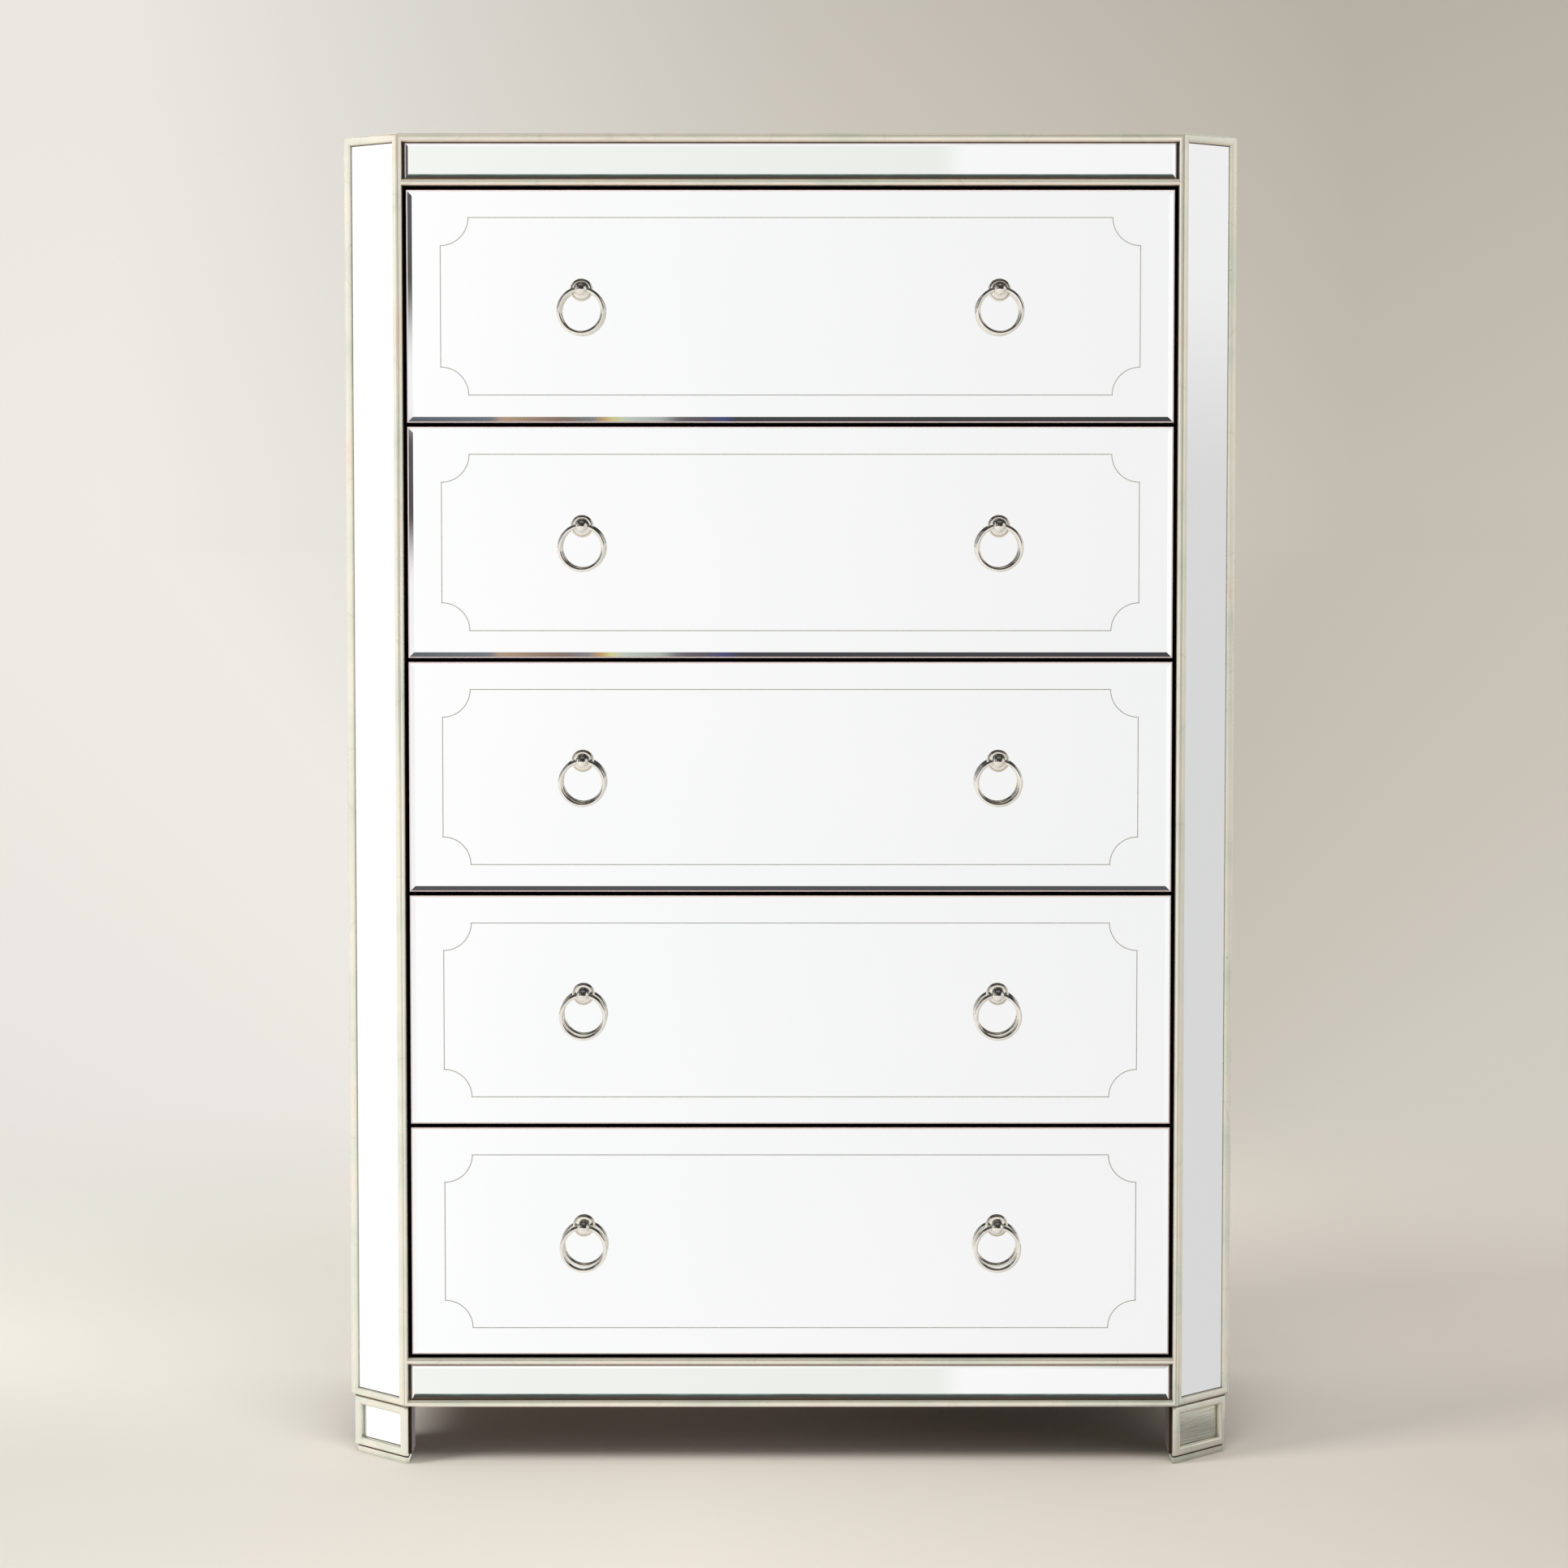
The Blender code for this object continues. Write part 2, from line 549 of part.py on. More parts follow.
def scooped_line():
    """The cut line on a drawer mirror: a rectangle whose corners are scooped out in quarter circles."""
    half_width = DRAWER_WIDTH / 2 - LINE_SIDE_INSET
    half_height = DRAWER_HEIGHT / 2 - LINE_END_INSET
    points = []
    for quarter, (sign_x, sign_z) in enumerate(((1, 1), (-1, 1), (-1, -1), (1, -1))):
        start = math.pi * (1.5 + quarter / 2)
        for step in range(LINE_SCOOP_STEPS + 1):
            angle = start - math.pi / 2 * step / LINE_SCOOP_STEPS
            points.append(Vector((sign_x * half_width + LINE_SCOOP_RADIUS * math.cos(angle), 0,
                                  sign_z * half_height + LINE_SCOOP_RADIUS * math.sin(angle))))
    return points


def line_cutter():
    """A thin closed bar of diamond section that follows the cut line."""
    path = scooped_line()
    rings = []
    for index, point in enumerate(path):
        arriving = (point - path[index - 1]).normalized()
        leaving = (path[(index + 1) % len(path)] - point).normalized()
        across = Vector((-arriving.z, 0, arriving.x)) + Vector((-leaving.z, 0, leaving.x))
        across.normalize()
        stretch = 1 / across.dot(Vector((-leaving.z, 0, leaving.x)))
        wide = across * (LINE_WIDTH / 2 * stretch)
        deep = Vector((0, LINE_DEPTH, 0))
        rings.append([point + wide, point + deep, point - wide, point - deep])
    return skin(rings, closed=True)


def pull_places():
    """Where a drawer's two pulls stand, from the drawer's middle."""
    return (("left", Vector((-PULL_SPREAD / 2, 0, PULL_RISE))),
            ("right", Vector((PULL_SPREAD / 2, 0, PULL_RISE))))


def stud_holes(near, far):
    """Cutters for the two studs, between two depths behind the front plane."""
    tools = []
    for side, place in pull_places():
        middle = Vector((place.x, (near + far) / 2, place.z))
        matrix = Matrix.Translation(middle) @ Matrix.Rotation(math.pi / 2, 4, "X")
        hole = rod(STUD_RADIUS + STUD_CLEARANCE, far - near, matrix)
        tools.append(add_piece(f"{side}_hole", hole, BLACK_PAINT))
    return tools


def make_drawer_mirror():
    """The bevelled mirror of a drawer, with its cut line and two holes."""
    pane = mirror_plate(DRAWER_WIDTH, DRAWER_HEIGHT, GLASS_BEVEL_WIDTH)
    mirror = add_piece("drawer_1_mirror", pane, MIRROR_GLASS)
    tools = stud_holes(-CUT_OVERRUN, GLASS_THICKNESS + CUT_OVERRUN)
    tools.append(add_piece("line_cutter", line_cutter(), BLACK_PAINT))
    combine(mirror, tools, "DIFFERENCE")
    return mirror


def make_drawer_front():
    """The painted board behind a drawer mirror."""
    half_width = DRAWER_WIDTH / 2 - FRONT_BOARD_INSET
    half_height = DRAWER_HEIGHT / 2 - FRONT_BOARD_INSET
    depths = (FRONT_BOARD_FACE, FRONT_BOARD_FACE + FRONT_BOARD_THICKNESS)
    whole = block((-half_width, half_width), depths, (-half_height, half_height))
    board = add_piece("drawer_1_front", whole, BLACK_PAINT)
    combine(board, stud_holes(depths[0] - CUT_OVERRUN, depths[1] + CUT_OVERRUN), "DIFFERENCE")
    return board


def make_drawer_box():
    """A drawer's box: an open tray on a raised bottom, with a groove along each side."""
    inside = BOX_HALF_WIDTH - BOX_SIDE_THICKNESS
    inner_front = BOX_FACE + BOX_END_THICKNESS
    inner_back = BOX_BACK - BOX_END_THICKNESS
    bottom_low = BOX_UNDERSIDE + BOX_BOTTOM_RISE
    bottom_high = bottom_low + BOX_BOTTOM_THICKNESS
    whole = block((-BOX_HALF_WIDTH, BOX_HALF_WIDTH), (BOX_FACE, BOX_BACK), (BOX_UNDERSIDE, BOX_TOP))
    box = add_piece("drawer_1_box", whole, HARDWOOD)
    groove_heights = (RUNNER_MIDDLE - RUNNER_HEIGHT / 2 - JOINT_GAP,
                      RUNNER_MIDDLE + RUNNER_HEIGHT / 2 + JOINT_GAP)
    hollows = {
        "tray": ((-inside, inside), (inner_front, inner_back), (bottom_high, BOX_TOP + CUT_OVERRUN)),
        "underside": ((-inside, inside), (inner_front, inner_back),
                      (BOX_UNDERSIDE - CUT_OVERRUN, bottom_low)),
        "left_groove": ((-BOX_HALF_WIDTH - CUT_OVERRUN, GROOVE_DEPTH - BOX_HALF_WIDTH),
                        (inner_front, BOX_BACK + CUT_OVERRUN), groove_heights),
        "right_groove": ((BOX_HALF_WIDTH - GROOVE_DEPTH, BOX_HALF_WIDTH + CUT_OVERRUN),
                         (inner_front, BOX_BACK + CUT_OVERRUN), groove_heights),
    }
    tools = [add_piece(name, block(*spans), HARDWOOD) for name, spans in hollows.items()]
    combine(box, tools, "DIFFERENCE")
    return box


def post_profile():
    """The turned outline of a pull post, from the tip of its ball to the end of its stud."""
    joins = math.pi - math.asin(STEM_RADIUS / BALL_RADIUS)
    profile = []
    for step in range(BALL_STEPS + 1):
        angle = joins * step / BALL_STEPS
        profile.append((BALL_RADIUS * math.sin(angle), -BALL_STANDOFF - BALL_RADIUS * math.cos(angle)))
    profile += [(STEM_RADIUS, -ROSETTE_THICKNESS - STEM_RADIUS / 2),
                (COLLAR_RADIUS, -ROSETTE_THICKNESS),
                (ROSETTE_RADIUS, -ROSETTE_EDGE),
                (ROSETTE_RADIUS, -JOINT_GAP),
                (STUD_RADIUS, -JOINT_GAP),
                (STUD_RADIUS, STUD_LENGTH),
                (0, STUD_LENGTH)]
    return profile


def make_pull_post():
    """A pull's rosette, stem and cross-drilled ball, with the stud that fastens it."""
    post = add_piece("drawer_1_left_pull_post", turned(post_profile()), NICKEL)
    across = Matrix.Translation((0, -BALL_STANDOFF, 0)) @ Matrix.Rotation(math.pi / 2, 4, "Y")
    drill = add_piece("drill", rod(WIRE_HOLE_RADIUS, 2 * BALL_RADIUS + CUT_OVERRUN, across), NICKEL)
    combine(post, [drill], "DIFFERENCE")
    smooth(post)
    return post


def make_ring():
    """A pull's ring, hanging below the middle of the hole that it turns in."""
    centre = Vector((0, 0, RING_SAG / 2 - RING_RADIUS))
    bm = bmesh.new()
    section = Matrix.Translation((0, 0, RING_SAG / 2)) @ Matrix.Rotation(math.pi / 2, 4, "Y")
    bmesh.ops.create_circle(bm, cap_ends=False, segments=WIRE_STEPS, radius=WIRE_RADIUS, matrix=section)
    bmesh.ops.spin(bm, geom=bm.verts[:] + bm.edges[:], cent=centre, axis=(0, 1, 0),
                   angle=2 * math.pi, steps=RING_STEPS, use_merge=True)
    bmesh.ops.remove_doubles(bm, verts=bm.verts, dist=MERGE_DISTANCE)
    ring = add_piece("drawer_1_left_ring", bm, NICKEL)
    smooth(ring)
    return ring


def place_piece(pattern, name, finish, location, parent):
    """Use a pattern for its own place, or copy it for another."""
    if pattern.name == name:
        pattern.location = location
        pattern.parent = parent
    else:
        add_copy(pattern, name, finish, location, parent)


def make_drawers():
    """Five drawers, each on its own empty in the middle of the front plane of the drawer."""
    mirror = make_drawer_mirror()
    front = make_drawer_front()
    box = make_drawer_box()
    post = make_pull_post()
    ring = make_ring()
    for number in range(1, DRAWER_COUNT + 1):
        drawer = bpy.data.objects.new(f"drawer_{number}", None)
        bpy.context.scene.collection.objects.link(drawer)
        drawer.location = (0, FRONT, drawer_middle(number))
        glass_face = Vector((0, DRAWER_RECESS, 0))
        place_piece(mirror, f"drawer_{number}_mirror", MIRROR_GLASS, glass_face, drawer)
        place_piece(front, f"drawer_{number}_front", BLACK_PAINT, (0, 0, 0), drawer)
        place_piece(box, f"drawer_{number}_box", HARDWOOD, (0, 0, 0), drawer)
        for side, place in pull_places():
            foot = glass_face + place
            hinge = foot - Vector((0, BALL_STANDOFF, 0))
            place_piece(post, f"drawer_{number}_{side}_pull_post", NICKEL, foot, drawer)
            place_piece(ring, f"drawer_{number}_{side}_ring", NICKEL, hinge, drawer)


clear_scene()
make_boards()
make_face_frame()
make_runner_panels()
make_front_trim()
make_side_trims()
make_fixed_mirrors()
make_feet()
make_drawers()
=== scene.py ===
# %% [markdown]
# # Dressing a mirrored dresser
#
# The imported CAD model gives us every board, pane, bead and ring of the dresser at its real size and place.
# This lesson gives it the looks of the photograph: rounded silver-leaf beads with mitred corners, bevelled
# mirrors, polished nickel ring pulls, painted and plain wood, a pale studio floor and soft light.
#
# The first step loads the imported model. Loading leaves every node selected, and an operator acts on all
# that is selected, so everything is deselected before any modelling starts.

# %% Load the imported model
import math

import bmesh
import bpy
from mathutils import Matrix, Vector


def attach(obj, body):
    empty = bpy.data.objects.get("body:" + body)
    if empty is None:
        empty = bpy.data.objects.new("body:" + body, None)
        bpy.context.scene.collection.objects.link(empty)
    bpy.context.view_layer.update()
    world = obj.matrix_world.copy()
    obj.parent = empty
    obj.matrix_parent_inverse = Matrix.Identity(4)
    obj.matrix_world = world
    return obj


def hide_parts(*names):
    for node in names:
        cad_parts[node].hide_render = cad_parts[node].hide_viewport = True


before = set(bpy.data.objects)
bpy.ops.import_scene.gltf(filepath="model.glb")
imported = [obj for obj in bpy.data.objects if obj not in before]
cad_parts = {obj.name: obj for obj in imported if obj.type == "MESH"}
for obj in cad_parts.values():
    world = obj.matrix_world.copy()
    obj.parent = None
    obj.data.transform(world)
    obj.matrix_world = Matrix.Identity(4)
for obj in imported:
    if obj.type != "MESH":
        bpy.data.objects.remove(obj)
bpy.ops.object.select_all(action="DESELECT")
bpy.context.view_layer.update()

# %% [markdown]
# ## Sizes that the looks share with the CAD
#
# The dresser stands on the floor with its front facing -Y. Its front corners are cut off at 45 degrees, which
# a cabinet maker calls canted corners. The numbers below are the CAD's own, in metres, so that each dressed
# piece lands exactly on the solid that it stands for.

# %% Shared sizes
FRONT = -0.218
BACK = 0.239
HALF_WIDTH = 0.470
CANT_RUN = 0.0625
ARRIS_HALF = HALF_WIDTH - CANT_RUN
OPENING_HALF = 0.403
HEIGHT = 1.397
FOOT_HEIGHT = 0.0615
CANT_LENGTH = CANT_RUN * math.sqrt(2)
SIDE_LENGTH = BACK - FRONT - CANT_RUN
HALF_CANT_TAN = math.tan(math.radians(22.5))
print("canted face:", round(CANT_LENGTH, 4), "side face:", round(SIDE_LENGTH, 4))

# %% [markdown]
# ## The camera
#
# The photographer stood about four metres away with the lens a little above the middle of the dresser, and
# used a long lens, so the sides stay hidden and only the canted corners show. The camera here stands at that
# place. It tilts down a few degrees instead of using a large lens shift, because the shift would stay on when
# the same camera walks round to the other views. That costs a little in this one: some lines of the front lie
# up to about 5 mm from where the photograph has them.

# %% Camera
CAMERA_DISTANCE = 4.2
CAMERA_HEIGHT = 1.03
CAMERA_OFFSET = -0.0067
CAMERA_TILT = math.radians(3.404)

bpy.ops.object.camera_add(location=(CAMERA_OFFSET, FRONT - CAMERA_DISTANCE, CAMERA_HEIGHT),
                          rotation=(math.radians(90) - CAMERA_TILT, 0, 0))
camera = bpy.context.object
camera.name = "photo_camera"
camera.data.sensor_width = 36
camera.data.lens = 92.5
camera.data.shift_y = -0.0361
bpy.context.scene.camera = camera
print("camera at", [round(v, 3) for v in camera.location], "lens", camera.data.lens)

# %% [markdown]
# ## Small helpers for node trees
#
# Every finish below is a node tree. These helpers keep the trees short to read. The first two add a node and
# plug in its values or links, and each of the others adds one common step and hands back its result.

# %% Node helpers
def connect(tree, node, **sockets):
    """Fill a node's sockets, called by name or by number, with values or links."""
    for key, value in sockets.items():
        socket = node.inputs[int(key[1:]) if key[0] == "_" else key.replace("_", " ")]
        if isinstance(value, bpy.types.NodeSocket):
            tree.links.new(value, socket)
        else:
            socket.default_value = value


def add_node(tree, kind, settings=None, **sockets):
    """Add a node, set its settings and fill its sockets."""
    node = tree.nodes.new("ShaderNode" + kind)
    for key, value in (settings or {}).items():
        setattr(node, key, value)
    connect(tree, node, **sockets)
    return node


def calc(tree, operation, first, second=0.0, third=0.0, clamp=False):
    """A Math node's result."""
    node = add_node(tree, "Math", {"operation": operation, "use_clamp": clamp}, _0=first, _1=second, _2=third)
    return node.outputs[0]


def spread(tree, value, low, high, to_low=0.0, to_high=1.0, kind="LINEAR"):
    """Map the range from low to high to another one, in a straight line unless another kind is named."""
    node = add_node(tree, "MapRange", {"interpolation_type": kind}, Value=value, From_Min=low, From_Max=high,
                    To_Min=to_low, To_Max=to_high)
    return node.outputs["Result"]


def ease(tree, value, low, high, to_low=0.0, to_high=1.0):
    """to_low below low, to_high above high, and a smooth step between."""
    return spread(tree, value, low, high, to_low, to_high, "SMOOTHSTEP")


def times(tree, first, *others):
    """The product of several values."""
    for other in others:
        first = calc(tree, "MULTIPLY", first, other)
    return first


def less(tree, value):
    """1 minus a value."""
    return calc(tree, "SUBTRACT", 1.0, value)


def band(tree, value, start, full, fading, end):
    """1 from full to fading, 0 outside start and end, with smooth sides."""
    return times(tree, ease(tree, value, start, full), less(tree, ease(tree, value, fading, end)))


def parts_of(tree, vector):
    """A vector's three parts."""
    return add_node(tree, "SeparateXYZ", _0=vector).outputs


def facing_parts(tree):
    """The three parts of the surface's direction."""
    return parts_of(tree, add_node(tree, "NewGeometry").outputs["Normal"])


def scaled(tree, vector, scale):
    """A vector or colour times a value."""
    return add_node(tree, "VectorMath", {"operation": "SCALE"}, _0=vector, Scale=scale).outputs[0]


def stretched(tree, place, scale, turn=(0, 0, 0)):
    """Coordinates scaled by a different amount along each axis, and turned."""
    return add_node(tree, "Mapping", Vector=place, Rotation=turn, Scale=scale).outputs[0]


def bumps(tree, strength, distance, height):
    """The surface's direction, disturbed by a height."""
    return add_node(tree, "Bump", Strength=strength, Distance=distance, Height=height).outputs[0]


def ramp(tree, value, stops):
    """A Color Ramp with stops of (place, grey or colour)."""
    node = add_node(tree, "ValToRGB", Fac=value)
    elements = node.color_ramp.elements
    while len(elements) < len(stops):
        elements.new(0.5)
    for element, (place, colour) in zip(elements, stops):
        element.position = place
        element.color = (*colour, 1) if isinstance(colour, tuple) else (colour, colour, colour, 1)
    return node.outputs["Color"]


def blend_colours(tree, share, first, second, how="MIX"):
    """Mix two colours."""
    node = add_node(tree, "Mix", {"data_type": "RGBA", "blend_type": how}, _0=share, _6=first, _7=second)
    return node.outputs[2]


def noise(tree, place, scale, detail=3.0, roughness=0.5):
    """A Noise texture's grey value."""
    node = add_node(tree, "TexNoise", Vector=place, Scale=scale, Detail=detail, Roughness=roughness)
    return node.outputs["Fac"]


def new_finish(name):
    """A material with its Principled shader, and the piece's own coordinates."""
    finish = bpy.data.materials.new(name)
    finish.use_nodes = True
    tree = finish.node_tree
    shader = tree.nodes["Principled BSDF"]
    place = add_node(tree, "TexCoord").outputs["Object"]
    return finish, tree, shader, place


print("node helpers ready")

# %% [markdown]
# ## The studio that the mirrors see
#
# A mirror has no colour of its own, so a mirrored dresser looks like the room in front of it. In the
# photograph that room is a white sweep, brightest to the left and greyer to the right, with a few dark things
# above and to one side: they only show in the ground bevels of the upper drawers, which look in other
# directions than the flat glass does. The dark flag at the side hangs in two parts, a low narrow one and a high
# wide one, so that it darkens only part of the left bevels.
#
# The world builds that room from the direction of the ray alone. `sideways` runs from -1, to the left, to 1, to
# the right, and `upward` is the sine of the height above the horizon. Camera rays see a warm backdrop with painted
# light on it: brighter to the left, a painted shadow just right of the dresser, and darker higher up. Rays from
# shiny surfaces see the studio.

# %% World
DARK_PROP = (0.020, 0.018, 0.019, 1)
WALL_GREY = 0.21


def from_left(tree, value):
    """Move a value between -1, at the left, and 1 to between 0 and 1."""
    return calc(tree, "MULTIPLY_ADD", value, 0.5, 0.5)


def level_length(tree, along, away):
    """The length on the level of a direction or a place, never quite zero."""
    squares = calc(tree, "ADD", times(tree, along, along), times(tree, away, away))
    return calc(tree, "MAXIMUM", calc(tree, "SQRT", squares), 0.001)


def ray_kinds(tree):
    """Whether a ray comes from the camera, and whether it comes from something shiny or clear."""
    rays = add_node(tree, "LightPath").outputs
    return rays["Is Camera Ray"], calc(tree, "MAXIMUM", rays["Is Glossy Ray"], rays["Is Transmission Ray"])


def side_tones(tree, sideways):
    """The studio's brightness for a level direction, from far left to far right."""
    return ramp(tree, from_left(tree, sideways),
                [(0.0, 1.08), (0.44, 1.06), (0.465, 1.015), (0.50, 0.975), (0.54, 0.935), (0.80, 0.93), (1.0, 0.90)])


def backdrop_tones(tree, sideways):
    """The backdrop's colour from left to right, with painted light: brightest to the left, and a darker dip just right
    of the dresser that is a painted shadow.
    """
    return ramp(tree, from_left(tree, sideways),
                [(0.0, (0.74, 0.72, 0.68)), (0.315, (0.823, 0.799, 0.761)), (0.42, (0.860, 0.836, 0.788)),
                 (0.50, (0.686, 0.645, 0.578)), (0.57, (0.551, 0.509, 0.442)), (0.69, (0.630, 0.597, 0.532)),
                 (1.0, (0.66, 0.62, 0.57))])


world = bpy.data.worlds.new("studio")
bpy.context.scene.world = world
world.use_nodes = True
tree = world.node_tree
tree.nodes.clear()
along, away, upward = parts_of(tree, add_node(tree, "TexCoord").outputs["Generated"])
sideways = calc(tree, "DIVIDE", along, level_length(tree, along, away))
in_front = ease(tree, times(tree, away, -1.0), 0.0, 0.1)

high_dark = times(tree, ease(tree, upward, 0.112, 0.122),
                  less(tree, ease(tree, calc(tree, "ABSOLUTE", sideways), 0.80, 0.92)))
left_dark = band(tree, sideways, -0.985, -0.975, -0.93, -0.87)
low_flag = band(tree, upward, -0.024, -0.006, 0.0145, 0.0160)
low_flag = times(tree, low_flag, less(tree, ease(tree, sideways, 0.21, 0.25)))
flag_heights = calc(tree, "MAXIMUM", low_flag, ease(tree, upward, 0.030, 0.052))
flag_heights = times(tree, flag_heights, less(tree, ease(tree, upward, 0.36, 0.46)))
side_flag = times(tree, band(tree, sideways, 0.115, 0.130, 0.50, 0.64), flag_heights)
darks = calc(tree, "MAXIMUM", calc(tree, "MAXIMUM", high_dark, side_flag), left_dark)
ceiling = ease(tree, upward, 0.45, 0.70)
shade = times(tree, calc(tree, "MAXIMUM", times(tree, darks, in_front), ceiling), 0.98)
softbox = times(tree, band(tree, sideways, -0.80, -0.76, -0.64, -0.60), band(tree, upward, 0.46, 0.50, 0.58, 0.62))
shade = times(tree, shade, less(tree, softbox))
right_wall = times(tree, ease(tree, sideways, 0.60, 0.97), less(tree, ease(tree, upward, -0.005, 0.060)))
walls = scaled(tree, side_tones(tree, sideways), less(tree, times(tree, right_wall, WALL_GREY)))
props = ramp(tree, calc(tree, "MULTIPLY_ADD", sideways, 5.0, 0.5),
             [(0.03, (0.10, 0.12, 0.14)), (0.13, (0.16, 0.18, 0.20)), (0.14, (0.46, 0.32, 0.22)),
              (0.22, (0.22, 0.15, 0.12)), (0.255, (0.20, 0.23, 0.27)), (0.270, (0.62, 0.33, 0.10)),
              (0.282, (0.66, 0.68, 0.30)), (0.30, (0.52, 0.58, 0.55)), (0.345, (0.42, 0.45, 0.42)),
              (0.365, (0.13, 0.11, 0.13)), (0.40, (0.10, 0.085, 0.10)), (0.424, (0.05, 0.07, 0.20)),
              (0.44, (0.045, 0.045, 0.05)), (0.97, (0.040, 0.040, 0.045))])
props = blend_colours(tree, ease(tree, upward, 0.165, 0.180), (0.075, 0.073, 0.078, 1), props)
props = blend_colours(tree, ease(tree, upward, 0.38, 0.45), props, DARK_PROP)
props = blend_colours(tree, ease(tree, upward, 0.78, 0.97), props, (0.180, 0.175, 0.165, 1))
studio_colour = blend_colours(tree, shade, walls, props)

# Painted light on the backdrop: it darkens with height, faster to the right.
fall_rate = ease(tree, sideways, -0.2, 0.02, 0.3, 1.3)
above = calc(tree, "MAXIMUM", upward, 0.0)
painted_height_falloff = calc(tree, "MAXIMUM", less(tree, times(tree, above, fall_rate)), 0.72)
backdrop_colour = scaled(tree, backdrop_tones(tree, sideways), painted_height_falloff)

from_camera, shiny = ray_kinds(tree)
overhead = calc(tree, "MULTIPLY_ADD", above, 0.48, 0.24)
soft_light = add_node(tree, "Background", Color=(1.0, 0.98, 0.95, 1), Strength=overhead)
studio = add_node(tree, "Background", Color=studio_colour, Strength=1.0)
backdrop = add_node(tree, "Background", Color=backdrop_colour, Strength=1.0)
lit = add_node(tree, "MixShader", _0=shiny, _1=soft_light.outputs[0], _2=studio.outputs[0])
seen = add_node(tree, "MixShader", _0=from_camera, _1=lit.outputs[0], _2=backdrop.outputs[0])
add_node(tree, "OutputWorld", Surface=seen.outputs[0])
print("world nodes:", len(tree.nodes))

# %% [markdown]
# ## The floor
#
# The floor is one large plane. Close to the dresser it is a real matt surface that takes the soft shadow, and
# its colour carries painted light as well: lighter in the middle and towards the back, darker to the sides, most
# to the right. Further off it turns into the backdrop's colour, painted light included, so no horizon line shows.
# To shiny surfaces the floor glows like the white sweep that the dresser was photographed on, darker to the right
# of it, with a painted shadow close to the dresser's right side.

# %% Floor
FLOOR_SIZE = 120

bpy.ops.mesh.primitive_plane_add(size=FLOOR_SIZE, location=(0, 0, 0))
floor = bpy.context.object
floor.name = "studio_floor"

finish, tree, shader, place = new_finish("studio_floor")
along, away, _ = parts_of(tree, place)
ahead = times(tree, away, -1.0)
reach = level_length(tree, along, away)
sideways = calc(tree, "DIVIDE", along, reach)
# Painted light: the paper is lighter in the middle and towards the back, darker at the sides, most to the right.
painted_light_paper = ramp(tree, from_left(tree, along),
             [(0.10, (0.705, 0.690, 0.645)), (0.45, (0.810, 0.770, 0.715)), (0.90, (0.645, 0.605, 0.555))])
painted_back_brightening = calc(tree, "MULTIPLY_ADD", ease(tree, away, -0.30, 0.55), 0.28, 1.0)
connect(tree, shader, Base_Color=scaled(tree, painted_light_paper, painted_back_brightening), Roughness=0.9, Specular_IOR_Level=0.1)

far_colour = add_node(tree, "Emission", Color=backdrop_tones(tree, sideways))
near_far = add_node(tree, "MixShader", _0=ease(tree, reach, 1.0, 2.6), _1=shader.outputs[0],
                    _2=far_colour.outputs[0])
# To shiny rays the glow greys on the right, as the world's right wall does, and much more within 0.6 to 0.7 m of the
# middle there: a painted shadow of the dresser.
greyer = calc(tree, "ADD", WALL_GREY, times(tree, less(tree, ease(tree, reach, 0.58, 0.72)), 0.42))
greyer = less(tree, times(tree, ease(tree, sideways, 0.60, 0.97), greyer))
side_flag = times(tree, band(tree, sideways, 0.115, 0.130, 0.21, 0.25), ease(tree, reach, 38.0, 85.0),
                  ease(tree, ahead, 0.0, 1.0))
in_front = ease(tree, ahead, 0.25, 0.50)
slant = calc(tree, "DIVIDE", along, calc(tree, "MULTIPLY_ADD", in_front, CAMERA_DISTANCE, reach))
glow = scaled(tree, side_tones(tree, slant), greyer)
glow = blend_colours(tree, times(tree, side_flag, 0.90), glow, DARK_PROP)
glow = add_node(tree, "Emission", Color=glow)
_, shiny = ray_kinds(tree)
seen = add_node(tree, "MixShader", _0=shiny, _1=near_far.outputs[0], _2=glow.outputs[0])
connect(tree, tree.nodes["Material Output"], Surface=seen.outputs[0])
floor.data.materials.append(finish)
print("floor", FLOOR_SIZE, "m square")

# %% [markdown]
# ## The lamps
#
# The light in the photograph comes from a large soft source up to the left and in front: it whitens the left
# canted corner and throws a soft shadow to the right. A second soft lamp hangs high in front, so that the floor
# is lit up to the dresser's feet, and a weak one on the right keeps the beads there from going dark.

# %% Lamps
def add_lamp(name, place, aim, size, power, colour):
    """A square soft lamp that looks at a point."""
    bpy.ops.object.light_add(type="AREA", location=place)
    lamp = bpy.context.object
    lamp.name = name
    lamp.data.size = size
    lamp.data.energy = power
    lamp.data.color = colour
    lamp.visible_glossy = False
    lamp.rotation_euler = (Vector(aim) - Vector(place)).to_track_quat("-Z", "Y").to_euler()


add_lamp("key_lamp", (-5.2, -2.9, 4.2), (0, 0, 0.6), 2.4, 240, (1.0, 0.98, 0.94))
add_lamp("front_lamp", (0.4, -2.6, 4.4), (0, 0, 0.3), 2.6, 75, (1.0, 0.97, 0.93))
add_lamp("fill_lamp", (2.6, -3.4, 2.4), (0, 0, 0.5), 2.0, 6, (1.0, 0.97, 0.93))

# %% [markdown]
# ## Mirror glass
#
# A silvered mirror is polished metal seen through clear glass. Rendering it as one smooth metal surface keeps
# it sharp and clean. Real panes are never perfect: the silvering varies by a hair, and fingertips leave soft
# films, so the tint and the roughness drift over the pane, and a very faint ripple bends the reflection.

